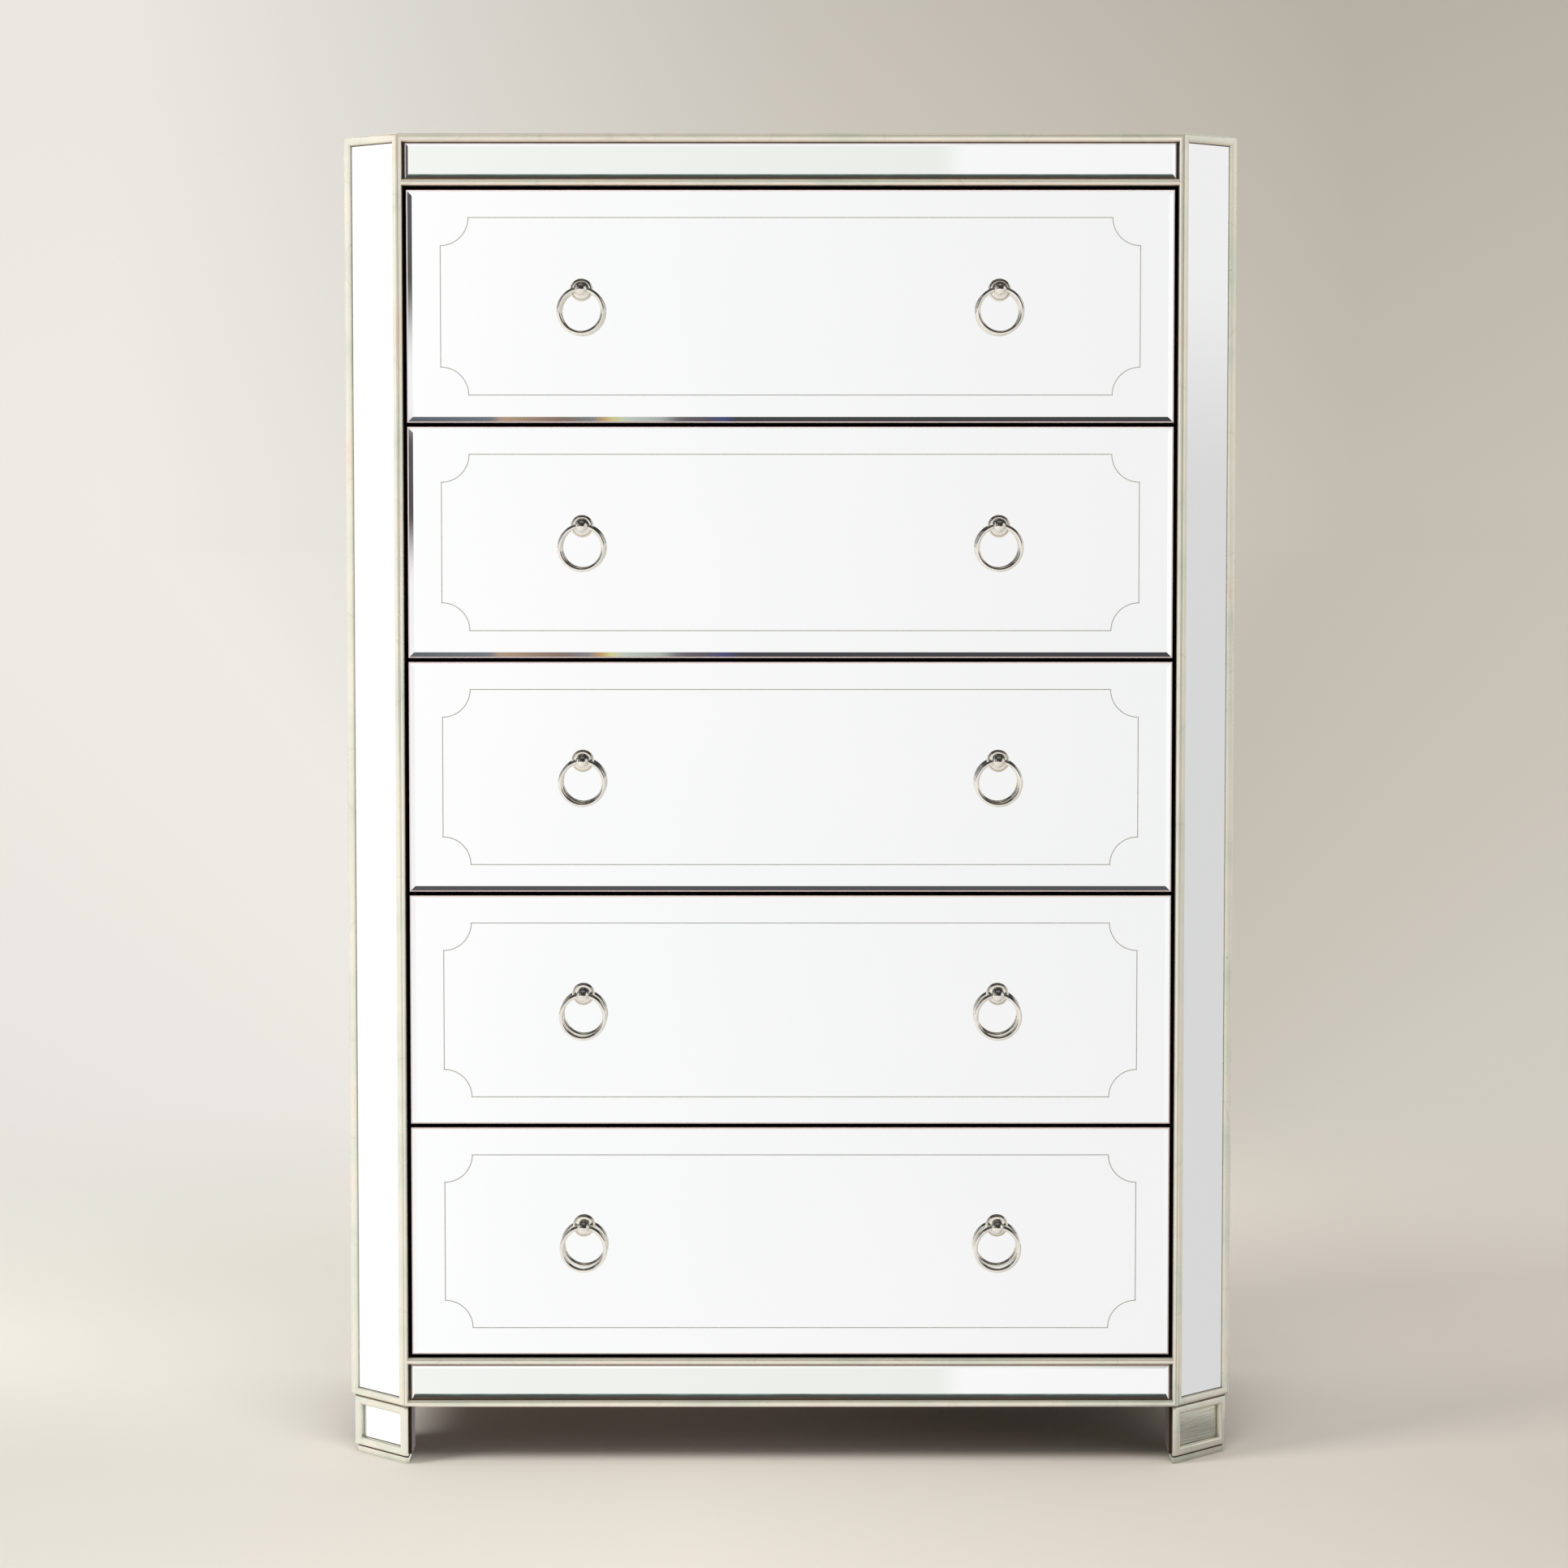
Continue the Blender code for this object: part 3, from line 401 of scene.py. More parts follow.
# %% Mirror finish
def new_mirror(name, overlay=None, roughness=None):
    """A mirror's finish with its tree and its ripple. An overlay is a function that draws a colour over the pane."""
    finish, tree, shader, place = new_finish(name)
    tint = blend_colours(tree, noise(tree, place, 2.3, 4.0), (0.930, 0.945, 0.940, 1), (0.965, 0.968, 0.960, 1))
    if overlay:
        tint = blend_colours(tree, 1.0, tint, overlay(tree, place), "MULTIPLY")
    film = spread(tree, noise(tree, place, 14.0, 6.0, 0.65), 0.35, 0.75, 0.012, 0.045)
    ripple = add_node(tree, "Bump", Strength=0.04, Distance=0.002, Height=noise(tree, place, 5.0, 1.0))
    connect(tree, shader, Base_Color=tint, Roughness=roughness or film, Metallic=1.0, Normal=ripple.outputs[0])
    return finish, tree, ripple


mirror_finish, _, _ = new_mirror("mirror_glass")
print("mirror finish ready")

# %% [markdown]
# ## Ground bevels
#
# The edge of each drawer mirror is ground to a shallow slope. Light that enters through the slope is bent
# towards the thick middle of the pane, so the bevel shows a strip of the room from the other side than its own
# slope faces. The finish does the same: it turns the sideways and upright parts of the surface's direction
# round before the mirror uses it.

# %% Bevel finish
bevel_finish, tree, ripple = new_mirror("mirror_bevel")
facing = add_node(tree, "NewGeometry").outputs["Normal"]
turned_over = add_node(tree, "VectorMath", {"operation": "MULTIPLY"}, _0=facing, _1=(-0.577, 1.0, -0.577))
turned_over = add_node(tree, "VectorMath", {"operation": "NORMALIZE"}, _0=turned_over.outputs[0])
connect(tree, ripple, Normal=turned_over.outputs[0])
print("bevel finish ready")

# %% [markdown]
# ## The glass of the rails and of the right foot
#
# The long strips of the rails look greyer over their left two thirds, where they show another part of the
# sweep than the drawers do, so their tint steps up towards the right: that greyer tint is a painted reflection.
# The little mirror in the right front foot shows the shaded floor beside the dresser, with fine slanting streaks
# of polish that nobody wiped off; its dark warm tint is a painted reflection of that shade, with the streaks
# drawn in it. Both are the plain mirror with a colour drawn over it.

# %% Rail and foot glass
def rail_stain(tree, place):
    """Greyer over the left two thirds, a painted reflection."""
    return blend_colours(tree, ease(tree, parts_of(tree, place)[0], 0.150, 0.185), (0.915, 0.925, 0.890, 1),
                         (1.03, 1.03, 1.03, 1))


def wiped_stain(tree, place):
    """Fine slanting streaks of polish, in a dark warm tint that is a painted reflection of the shaded floor."""
    wipes = noise(tree, stretched(tree, place, (30.0, 30.0, 1500.0), (0, math.radians(-24), 0)), 1.0, 4.0, 0.7)
    return ramp(tree, wipes, [(0.36, (0.60, 0.57, 0.45)), (0.52, (0.86, 0.82, 0.68)), (0.66, (0.98, 0.95, 0.83))])


rail_finish, _, _ = new_mirror("rail_mirror_glass", rail_stain)
streaked_finish, _, _ = new_mirror("streaked_foot_glass", wiped_stain, roughness=0.06)
print("rail and foot glass ready")

# %% [markdown]
# ## Glass edges, cut lines and the dark foot of a rail mirror
#
# Where a pane is seamed at its very edge, the glass is frosted and shows the pink-grey protective paint of
# the silvering. The decorative line in each drawer mirror is cut with a wheel and left matt, so it looks
# pale grey. The narrow lower bevel of a rail mirror gets painted shade: the shadow above the bead is painted
# into its colour, a thin green line on top, near black below it, and a painted reflection of the warm bead at
# the bottom. Its colours follow the height, so each rail gets a strip finish made for its own place.

# %% Edge finishes
def frosted_finish(name, pale, deep, scale):
    """Matt ground glass, mottled between two tones."""
    finish, tree, shader, place = new_finish(name)
    mottle = noise(tree, place, scale, 5.0, 0.6)
    connect(tree, shader, Base_Color=blend_colours(tree, mottle, (*pale, 1), (*deep, 1)), Roughness=0.55,
            Normal=bumps(tree, 0.3, 0.0002, noise(tree, place, scale * 6, 2.0)))
    return finish


edge_finish = frosted_finish("seamed_glass_edge", (0.78, 0.66, 0.67), (0.60, 0.50, 0.51), 60.0)
line_finish = frosted_finish("cut_line", (0.56, 0.56, 0.555), (0.44, 0.44, 0.44), 90.0)


def strip_finish(name, low, height):
    """A bevel painted with shade between two heights, green on top and brown at the bottom, in uneven patches."""
    finish, tree, shader, place = new_finish(name)
    rise = spread(tree, parts_of(tree, place)[2], low, low + height)
    patches = noise(tree, stretched(tree, place, (25.0, 25.0, 160.0)), 1.0, 5.0, 0.7)
    uneven = calc(tree, "MULTIPLY_ADD", patches, 0.5, -0.25)
    # Painted shade, and a painted reflection of the warm bead at the bottom, by height.
    colours = ramp(tree, calc(tree, "ADD", rise, uneven, clamp=True),
                   [(0.06, (0.19, 0.105, 0.065)), (0.24, (0.085, 0.060, 0.045)), (0.40, (0.040, 0.045, 0.040)),
                    (0.72, (0.050, 0.066, 0.060)), (0.86, (0.12, 0.18, 0.16)), (0.95, (0.26, 0.37, 0.33))])
    connect(tree, shader, Base_Color=colours, Metallic=0.25, Roughness=0.3)
    return finish


print("edge finishes ready")

# %% [markdown]
# ## Silver leaf on wood
#
# The beads are wood, coated with gesso and laid with thin silver leaf, then toned with a warm lacquer. Up
# close the tone wanders between champagne and a greenish silver, the leaves overlap in faint laps a hand's
# width apart, and small rubbed specks let the brown ground through. Two layers are painted shade: faces that
# look down are darker and warmer, and the hollows beside the glass, found by ambient occlusion, are darkened
# grey-green. Each of these is a layer in the finish.

# %% Silver leaf finish
leaf_finish, tree, shader, place = new_finish("silver_leaf")
tone = noise(tree, place, 16.0, 2.5, 0.5)
leaf = ramp(tree, tone, [(0.30, (0.70, 0.72, 0.61)), (0.46, (0.79, 0.78, 0.67)), (0.60, (0.85, 0.80, 0.69)),
                         (0.74, (0.83, 0.74, 0.62))])
# Painted shade: faces that look down are darkened and warmed, as if lit less from above and by the warm floor.
painted_underside_shade = times(tree, ease(tree, times(tree, facing_parts(tree)[2], -1.0), 0.05, 0.75), 0.55)
warm_underside_shade = ramp(tree, tone, [(0.35, (0.60, 0.48, 0.34)), (0.50, (0.64, 0.45, 0.31)), (0.66, (0.56, 0.40, 0.29))])
leaf = blend_colours(tree, painted_underside_shade, leaf, warm_underside_shade)
streaks = noise(tree, place, 55.0, 2.0, 0.5)
leaf = blend_colours(tree, times(tree, ease(tree, streaks, 0.45, 0.75), 0.16), leaf, (0.90, 0.90, 0.84, 1))
laps = add_node(tree, "TexVoronoi", {"feature": "DISTANCE_TO_EDGE"}, Vector=place, Scale=7.0).outputs["Distance"]
lap_line = less(tree, ease(tree, laps, 0.002, 0.012))
leaf = blend_colours(tree, times(tree, lap_line, 0.14), leaf, (0.45, 0.38, 0.26, 1))
rubbed = ease(tree, noise(tree, place, 300.0, 2.0, 0.5), 0.72, 0.78)
rubbed = times(tree, rubbed, ease(tree, noise(tree, place, 14.0, 2.0), 0.54, 0.64))
leaf = blend_colours(tree, times(tree, rubbed, 0.7), leaf, (0.16, 0.10, 0.06, 1))
# Painted shade: where ambient occlusion is low, in the hollows, the leaf is darkened grey-green.
occlusion = add_node(tree, "AmbientOcclusion", {"samples": 8}, Distance=0.006).outputs["AO"]
painted_hollow_shade = less(tree, ease(tree, occlusion, 0.45, 0.95))
leaf = blend_colours(tree, times(tree, painted_hollow_shade, 0.60), leaf, (0.36, 0.37, 0.28, 1))
sheen = spread(tree, noise(tree, place, 45.0, 3.0), 0.3, 0.7, 0.17, 0.25)
gesso = calc(tree, "ADD", noise(tree, place, 130.0, 2.0), times(tree, noise(tree, place, 40.0), 1.5))
connect(tree, shader, Base_Color=leaf, Roughness=sheen, Metallic=0.55, Normal=bumps(tree, 0.06, 0.0001, gesso))
print("silver leaf finish ready")

# %% [markdown]
# ## Painted boards, plain hardwood and the back
#
# The drawer fronts and the case behind the beads are painted black, so the gaps between drawers read as
# dark lines. Where the leaf stops, on the inner sides of the feet and under the case, the brown ground coat that
# the leaf is laid on stays bare; on the feet its dark brown is also painted shade. The drawer boxes and their
# runners are clear-sealed hardwood with a straight grain. The back is a dull grey board. Nobody sees much of them
# until a drawer is pulled out, and then they must hold up.

# %% Wood and paint finishes
black_finish, tree, shader, place = new_finish("black_paint")
worn = noise(tree, place, 30.0, 5.0, 0.65)
connect(tree, shader, Base_Color=ramp(tree, worn, [(0.3, (0.011, 0.010, 0.010)), (0.7, (0.030, 0.026, 0.023))]),
        Roughness=spread(tree, worn, 0.0, 1.0, 0.38, 0.62),
        Normal=bumps(tree, 0.15, 0.0003, noise(tree, stretched(tree, place, (12.0, 12.0, 260.0)), 1.0)))


def streaky_finish(name, stretch, detail, dark, pale, roughness, strength, distance):
    """A matt coat in streaks between two tones."""
    finish, tree, shader, place = new_finish(name)
    streaks = noise(tree, stretched(tree, place, stretch), 1.0, detail, 0.6)
    connect(tree, shader, Base_Color=ramp(tree, streaks, [(0.3, dark), (0.7, pale)]), Roughness=roughness,
            Normal=bumps(tree, strength, distance, streaks))
    return finish


ground_finish = streaky_finish("brown_ground_coat", (60.0, 60.0, 14.0), 5.0, (0.055, 0.030, 0.019),
                               (0.115, 0.068, 0.044), 0.55, 0.2, 0.0002)
grey_finish = streaky_finish("grey_back_board", (240.0, 240.0, 60.0), 4.0, (0.075, 0.070, 0.066),
                             (0.135, 0.128, 0.12), 0.75, 0.3, 0.0003)


def grain(tree, place, stretch):
    """Growth rings and pores, stretched along one axis of the board."""
    along_board = stretched(tree, place, stretch)
    rings = calc(tree, "FRACT", times(tree, noise(tree, along_board, 1.0, 6.0, 0.6), 7.0))
    pores = ease(tree, noise(tree, along_board, 9.0, 2.0), 0.60, 0.72)
    return calc(tree, "ADD", times(tree, rings, 0.75), times(tree, pores, 0.25))


hardwood_finish, tree, shader, place = new_finish("sealed_hardwood")
end_board = calc(tree, "GREATER_THAN", calc(tree, "ABSOLUTE", facing_parts(tree)[1]), 0.5)
figure = add_node(tree, "Mix", {"data_type": "FLOAT"}, _0=end_board, _2=grain(tree, place, (26.0, 1.6, 26.0)),
                  _3=grain(tree, place, (1.6, 26.0, 26.0))).outputs[0]
connect(tree, shader, Base_Color=ramp(tree, figure, [(0.0, (0.56, 0.40, 0.25)), (0.55, (0.47, 0.32, 0.185)),
                                                     (1.0, (0.30, 0.185, 0.10))]), Roughness=0.48,
        Normal=bumps(tree, 0.25, 0.0004, figure))
print("wood and paint finishes ready")

# %% [markdown]
# ## Polished nickel
#
# The ring pulls are turned and bent metal with a polished nickel plate, warmer than chrome. Handling leaves
# hairline scratches and a light film, so the roughness changes over the surface and the bump is very fine.

# %% Nickel finish
nickel_finish, tree, shader, place = new_finish("polished_nickel")
film = noise(tree, place, 150.0, 4.0, 0.6)
hairs = noise(tree, stretched(tree, place, (300.0, 2400.0, 2400.0)), 1.0)
connect(tree, shader, Metallic=1.0,
        Base_Color=ramp(tree, film, [(0.3, (0.84, 0.80, 0.73)), (0.7, (0.76, 0.71, 0.63))]),
        Roughness=spread(tree, film, 0.3, 0.75, 0.05, 0.14), Normal=bumps(tree, 0.03, 0.0001, hairs))
print("nickel finish ready")

# %% [markdown]
# ## Modelling helpers
#
# These wrap the steps that a modeller does by hand: add a block, go into edit mode and pick edges or faces,
# slice a corner off along a plane, copy a piece, join pieces, and settle the result so that its object sits at
# the origin with its place in its mesh. A vertex counts as lying in a plane when it is within TOUCH of it.

# %% Modelling helpers
TOUCH = 0.0002
MERGE_REACH = 0.00002
CUT_REACH = 0.000002
SOFT_ANGLE = 38


def select_only(*things):
    """Select these objects and nothing else, the last one active."""
    bpy.ops.object.select_all(action="DESELECT")
    for thing in things:
        thing.select_set(True)
    bpy.context.view_layer.objects.active = things[-1]


def settle(piece):
    """Put the object at the origin, with its turn, scale and place in its mesh."""
    select_only(piece)
    bpy.ops.object.transform_apply(location=True, rotation=True, scale=True)
    return piece


def add_block(name, low, high):
    """A block between two corners."""
    low, high = Vector(low), Vector(high)
    bpy.ops.object.select_all(action="DESELECT")
    bpy.ops.mesh.primitive_cube_add(size=1, location=(low + high) / 2)
    block = bpy.context.object
    block.name = name
    block.scale = high - low
    return settle(block)


def pick(kind, rule):
    """In edit mode, select the vertices, edges or faces that a rule accepts, and say how many."""
    bpy.ops.mesh.select_mode(type=kind)
    bpy.ops.mesh.select_all(action="DESELECT")
    mesh = bmesh.from_edit_mesh(bpy.context.object.data)
    items = {"VERT": mesh.verts, "EDGE": mesh.edges, "FACE": mesh.faces}[kind]
    chosen = [item for item in items if rule(item)]
    for item in chosen:
        item.select_set(True)
    bmesh.update_edit_mesh(bpy.context.object.data)
    return len(chosen)


def round_edges(rule, width, steps, crown=0.5):
    """In edit mode, round the edges that a rule accepts, and say how many."""
    count = pick("EDGE", rule)
    bpy.ops.mesh.bevel(offset=width, segments=steps, profile=crown, affect="EDGES")
    return count


def use_slot(index):
    """In edit mode, give the selected faces one of the piece's finishes."""
    bpy.context.object.active_material_index = index
    bpy.ops.object.material_slot_assign()


def edit(piece):
    """Open a piece in edit mode, with all of it selected."""
    select_only(piece)
    bpy.ops.object.mode_set(mode="EDIT")
    bpy.ops.mesh.select_all(action="SELECT")


def leave_edit():
    """Go back to object mode."""
    bpy.ops.object.mode_set(mode="OBJECT")


def slice_off(piece, point, normal):
    """Cut a piece along a plane, drop the side that the normal points to, and close the cut."""
    edit(piece)
    bpy.ops.mesh.bisect(plane_co=point, plane_no=normal, use_fill=True, clear_outer=True, threshold=CUT_REACH)
    leave_edit()


def copy_piece(piece, name):
    """A copy with its own mesh."""
    twin = piece.copy()
    twin.data = piece.data.copy()
    twin.name = name
    bpy.context.scene.collection.objects.link(twin)
    return twin


def join_pieces(name, pieces):
    """Make one object of several."""
    select_only(*pieces)
    bpy.ops.object.join()
    joined = bpy.context.object
    joined.name = name
    return joined


def tidy_mesh(piece, reach=MERGE_REACH):
    """Merge doubles within a reach and point every face outwards."""
    edit(piece)
    bpy.ops.mesh.remove_doubles(threshold=reach)
    bpy.ops.mesh.normals_make_consistent(inside=False)
    leave_edit()


def smooth_by_angle(piece, degrees):
    """Shade smooth, but keep edges that turn more than an angle."""
    select_only(piece)
    bpy.ops.object.shade_smooth_by_angle(angle=math.radians(degrees))


def mirror_left(piece, name):
    """A left-hand copy of a right-hand piece."""
    twin = copy_piece(piece, name)
    twin.scale.x = -1
    settle(twin)
    tidy_mesh(twin)
    return twin


def set_in(piece, body, nodes, finish=None):
    """Give a piece its finish, hang it on its body and let it stand for CAD nodes."""
    if finish:
        piece.data.materials.clear()
        piece.data.materials.append(finish)
    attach(piece, body)
    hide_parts(*nodes)


def set_in_pair(right, left_name, node, finish=None):
    """Mirror a right-hand piece of the cabinet, and set in both for the node of their side."""
    left = mirror_left(right, left_name)
    for piece, side in ((left, "left"), (right, "right")):
        smooth_by_angle(piece, SOFT_ANGLE)
        set_in(piece, "cabinet", [node.format(side)], finish)


print("modelling helpers ready")

# %% [markdown]
# ## A length of bead
#
# Bead is sold as a long half-round moulding, and every frame on this dresser is cut from it. So one length of
# stock is modelled once: a bar with its two front edges bevelled until they meet in a soft crown. A bar of any
# width is a copy, squeezed across, so the depth of its profile never changes and mitred corners always meet.

# %% Bead stock
BEAD_RISE = 0.007
STOCK_WIDTH = 0.010
STOCK_ROUND = 0.0046
STOCK_STEPS = 7
WELD_REACH = 0.00008

stock = add_block("bead_stock", (-0.5, 0, -STOCK_WIDTH / 2), (0.5, BEAD_RISE, STOCK_WIDTH / 2))
edit(stock)
crest = round_edges(lambda edge: all(v.co.y < TOUCH for v in edge.verts)
                    and abs(edge.verts[0].co.x - edge.verts[1].co.x) > 0.5, STOCK_ROUND, STOCK_STEPS, 0.58)
leave_edit()
print("bead stock: bevelled", crest, "edges,", len(stock.data.polygons), "faces")


def bead_bar(name, x_span, z_span):
    """A bar of bead that fills a rectangle of the front plane, crest at y = 0."""
    (x0, x1), (z0, z1) = x_span, z_span
    bar = copy_piece(stock, name)
    if x1 - x0 > z1 - z0:
        bar.scale = (x1 - x0, 1, (z1 - z0) / STOCK_WIDTH)
    else:
        bar.scale = (z1 - z0, 1, (x1 - x0) / STOCK_WIDTH)
        bar.rotation_euler = (0, math.radians(90), 0)
    bar.location = ((x0 + x1) / 2, 0, (z0 + z1) / 2)
    return settle(bar)


def mitre(bar, outer, inner):
    """Cut one end of a bar along the line from a frame's outer corner to its inner corner."""
    middle = sum((Vector(corner) for corner in bar.bound_box), Vector()) / 8
    outer, inner = Vector((outer[0], 0, outer[1])), Vector((inner[0], 0, inner[1]))
    diagonal = inner - outer
    normal = Vector((-diagonal.z, 0, diagonal.x))
    if normal.dot(middle - outer) > 0:
        normal = -normal
    slice_off(bar, outer, normal)


def bead_frame(name, x_span, z_span, left, right, low, high, folds=()):
    """A picture frame of four mitred bars, with the width of each, cut off along the planes of its folds."""
    (x0, x1), (z0, z1) = x_span, z_span
    outer = {"ll": (x0, z0), "rl": (x1, z0), "lh": (x0, z1), "rh": (x1, z1)}
    inner = {"ll": (x0 + left, z0 + low), "rl": (x1 - right, z0 + low),
             "lh": (x0 + left, z1 - high), "rh": (x1 - right, z1 - high)}
    bars = {("ll", "rl"): bead_bar("low", x_span, (z0, z0 + low)),
            ("lh", "rh"): bead_bar("high", x_span, (z1 - high, z1)),
            ("ll", "lh"): bead_bar("left", (x0, x0 + left), z_span),
            ("rl", "rh"): bead_bar("right", (x1 - right, x1), z_span)}
    for ends, bar in bars.items():
        for end in ends:
            mitre(bar, outer[end], inner[end])
        for point, normal in folds:
            slice_off(bar, point, normal)
    return join_pieces(name, list(bars.values()))


def weld(piece):
    """Weld bars that meet on a cut, and take out the two faces that then lie inside."""
    tidy_mesh(piece, WELD_REACH)
    edit(piece)
    pick("FACE", lambda face: all(len(edge.link_faces) > 2 for edge in face.edges))
    bpy.ops.mesh.delete(type="FACE")
    leave_edit()
    tidy_mesh(piece)


# %% [markdown]
# ## The front beads
#
# The beads on the front make a ladder: two narrow stiles up the arrises of the case, and four crossbars that
# frame both rail mirrors. The outer pair is mitred into the stiles. The inner pair simply runs into them, and
# because both profiles have the same depth, the two crowns meet in a neat arrow point, as in the photograph.

# %% Front beads
STILE_WIDTH = ARRIS_HALF - OPENING_HALF
BEAD_WIDTH = 0.007
TOP_BEAD_WIDTH = 0.0095
RAIL_FIELD = 0.038
LOWER_RAIL_BEAD = FOOT_HEIGHT + BEAD_WIDTH + RAIL_FIELD
UPPER_RAIL_BEAD = HEIGHT - TOP_BEAD_WIDTH - RAIL_FIELD - BEAD_WIDTH

arris_folds = [((sign * ARRIS_HALF, 0, 0), (sign, HALF_CANT_TAN, 0)) for sign in (-1, 1)]
front_beads = bead_frame("outer_front_beads", (-ARRIS_HALF, ARRIS_HALF), (FOOT_HEIGHT, HEIGHT), STILE_WIDTH,
                         STILE_WIDTH, BEAD_WIDTH, TOP_BEAD_WIDTH, arris_folds)
weld(front_beads)
crossbar_half = OPENING_HALF + STILE_WIDTH / 2
crossbars = [bead_bar("crossbar", (-crossbar_half, crossbar_half), (low, low + BEAD_WIDTH))
             for low in (LOWER_RAIL_BEAD, UPPER_RAIL_BEAD)]
front_beads = join_pieces("front_beads", crossbars + [front_beads])
front_beads.location.y = FRONT
settle(front_beads)
smooth_by_angle(front_beads, SOFT_ANGLE)
set_in(front_beads, "cabinet", ["front_bead_trim"], leaf_finish)
print("front beads:", len(front_beads.data.polygons), "faces")

# %% [markdown]
# ## The beads of the canted corners and the sides
#
# Each canted corner has its own tall picture frame, and so has each side. Both are made lying in the front
# plane, where the cuts are easy to place, and then turned to 45 and 90 degrees about the corner's arris. The
# edges that meet at a fold are shaved back at half the angle of the fold. A fine seam stays open along the front
# arris, where two separate pieces meet. The left side is a mirrored copy.

# %% Corner and side beads
UPRIGHT_WIDTH = 0.010
LOW_BEAD_WIDTH = 0.009
ARRIS_SEAM = 0.00035


def upright_frame(name, x_span, folds, degrees, place):
    """A tall picture frame of bead, shaved back at folds of (x, side), turned and moved to its place."""
    planes = [((x, 0, 0), (side, HALF_CANT_TAN, 0)) for x, side in folds]
    beads = bead_frame(name, x_span, (FOOT_HEIGHT, HEIGHT), UPRIGHT_WIDTH, UPRIGHT_WIDTH, LOW_BEAD_WIDTH,
                       TOP_BEAD_WIDTH, planes)
    beads.rotation_euler.z = math.radians(degrees)
    beads.location = place
    return settle(beads)


cant_frame = upright_frame("cant_frame", (ARRIS_SEAM, CANT_LENGTH), [(ARRIS_SEAM, -1), (CANT_LENGTH, 1)], 45,
                           (ARRIS_HALF, FRONT, 0))
side_frame = upright_frame("side_frame", (0, SIDE_LENGTH), [(0, -1)], 90, (HALF_WIDTH, FRONT + CANT_RUN, 0))
right_beads = join_pieces("right_corner_and_side_beads", [cant_frame, side_frame])
weld(right_beads)
set_in_pair(right_beads, "left_corner_and_side_beads", "{}_bead_trim", leaf_finish)
bpy.data.objects.remove(stock)
print("side beads:", len(right_beads.data.polygons), "faces a side")

# %% [markdown]
# ## The front feet
#
# Under each canted corner stands a foot whose face repeats the frame above it: a round-edged border about a
# small sunk mirror, over a low plain base. It starts as a block with its corner sliced off at 45 degrees. The
# canted face is inset for the border and pushed in for the pocket, and every front edge is then rounded.
#
# The leafed block is glued to a core that is only painted brown. The core shows as a dark, slightly sunk strip
# beside the border and on the foot's inner side, and a narrow brown neck sits between the border and the base.
# Their dark brown is painted shade: it draws the shadow lines there, on a real ground coat.

# %% Front feet
FOOT_INNER = ARRIS_HALF - 0.007
FOOT_OUTER = HALF_WIDTH - 0.0045
FOOT_SETBACK = 0.001
FOOT_FACE = FRONT + FOOT_SETBACK
FOOT_HEEL = FRONT + 0.050
FOOT_BASE = 0.0085
SEAT_GAP = 0.0003
FOOT_TOP = FOOT_HEIGHT - SEAT_GAP
FOOT_BORDER = 0.009
FOOT_POCKET = 0.0093
LEAF_START = 0.0032
CORE_SUNK = 0.0012
CORE_SHORT = 0.0003
BEHIND_POCKET = 0.003
FOOT_NECK = 0.0016
NECK_INSET = 0.0045
NECK_LAP = 0.001
BASE_INSET = 0.0025
CANT = Vector((1, -1, 0)).normalized()
foot_arris = Vector((ARRIS_HALF - FOOT_SETBACK * HALF_CANT_TAN, FOOT_FACE, 0))


def canted_block(name, inset, low, high, finish, inner=0.0, front=0.0, cant=0.0):
    """A block with the foot's plan, inset all round and by more at its inner side, its front and its cant."""
    depth = FOOT_OUTER - FOOT_INNER
    block = add_block(name, (FOOT_INNER + inset + inner, FOOT_FACE + inset + front, low),
                      (FOOT_OUTER - inset - cant / 4, FOOT_HEEL + depth - inset - inner / 8, high))
    slice_off(block, foot_arris - CANT * (inset + cant), CANT)
    heel = Vector((FOOT_INNER + inset + inner, FOOT_HEEL - inset, 0))
    slice_off(block, heel, (-1, 1, 0))
    block.data.materials.append(finish)
    return block


def faces_out(face, direction):
    """Whether a face looks in a direction."""
    return face.normal.dot(Vector(direction).normalized()) > 0.99


def is_sharp(edge):
    """Whether the faces at an edge turn by more than 30 degrees."""
    return edge.calc_face_angle(0) > math.radians(30)


def rise_of(edge):
    """How far an edge rises."""
    return abs(edge.verts[0].co.z - edge.verts[1].co.z)


def sink_panel(direction, depth):
    """In edit mode, inset the face that looks in a direction, for the border, and push it in."""
    pick("FACE", lambda face: faces_out(face, direction))
    bpy.ops.mesh.inset(thickness=FOOT_BORDER)
    bpy.ops.mesh.extrude_region_move(TRANSFORM_OT_translate={"value": -direction * depth})


def shape_base(base, taper):
    """Draw in the bottom of a foot's base, and round its upright edges."""
    edit(base)
    pick("FACE", lambda face: faces_out(face, (0, 0, -1)))
    bpy.ops.transform.resize(value=(taper, taper, 1))
    round_edges(lambda edge: rise_of(edge) > 0.004, 0.0015, 3)
    leave_edit()


def on_cant(v):
    """Whether a vertex lies in the foot's canted face."""
    return abs((v.co - foot_arris).dot(CANT)) < TOUCH


def in_pocket(v):
    """Whether a vertex lies within the border's height."""
    return FOOT_BASE + FOOT_BORDER / 2 < v.co.z < FOOT_TOP - FOOT_BORDER / 2


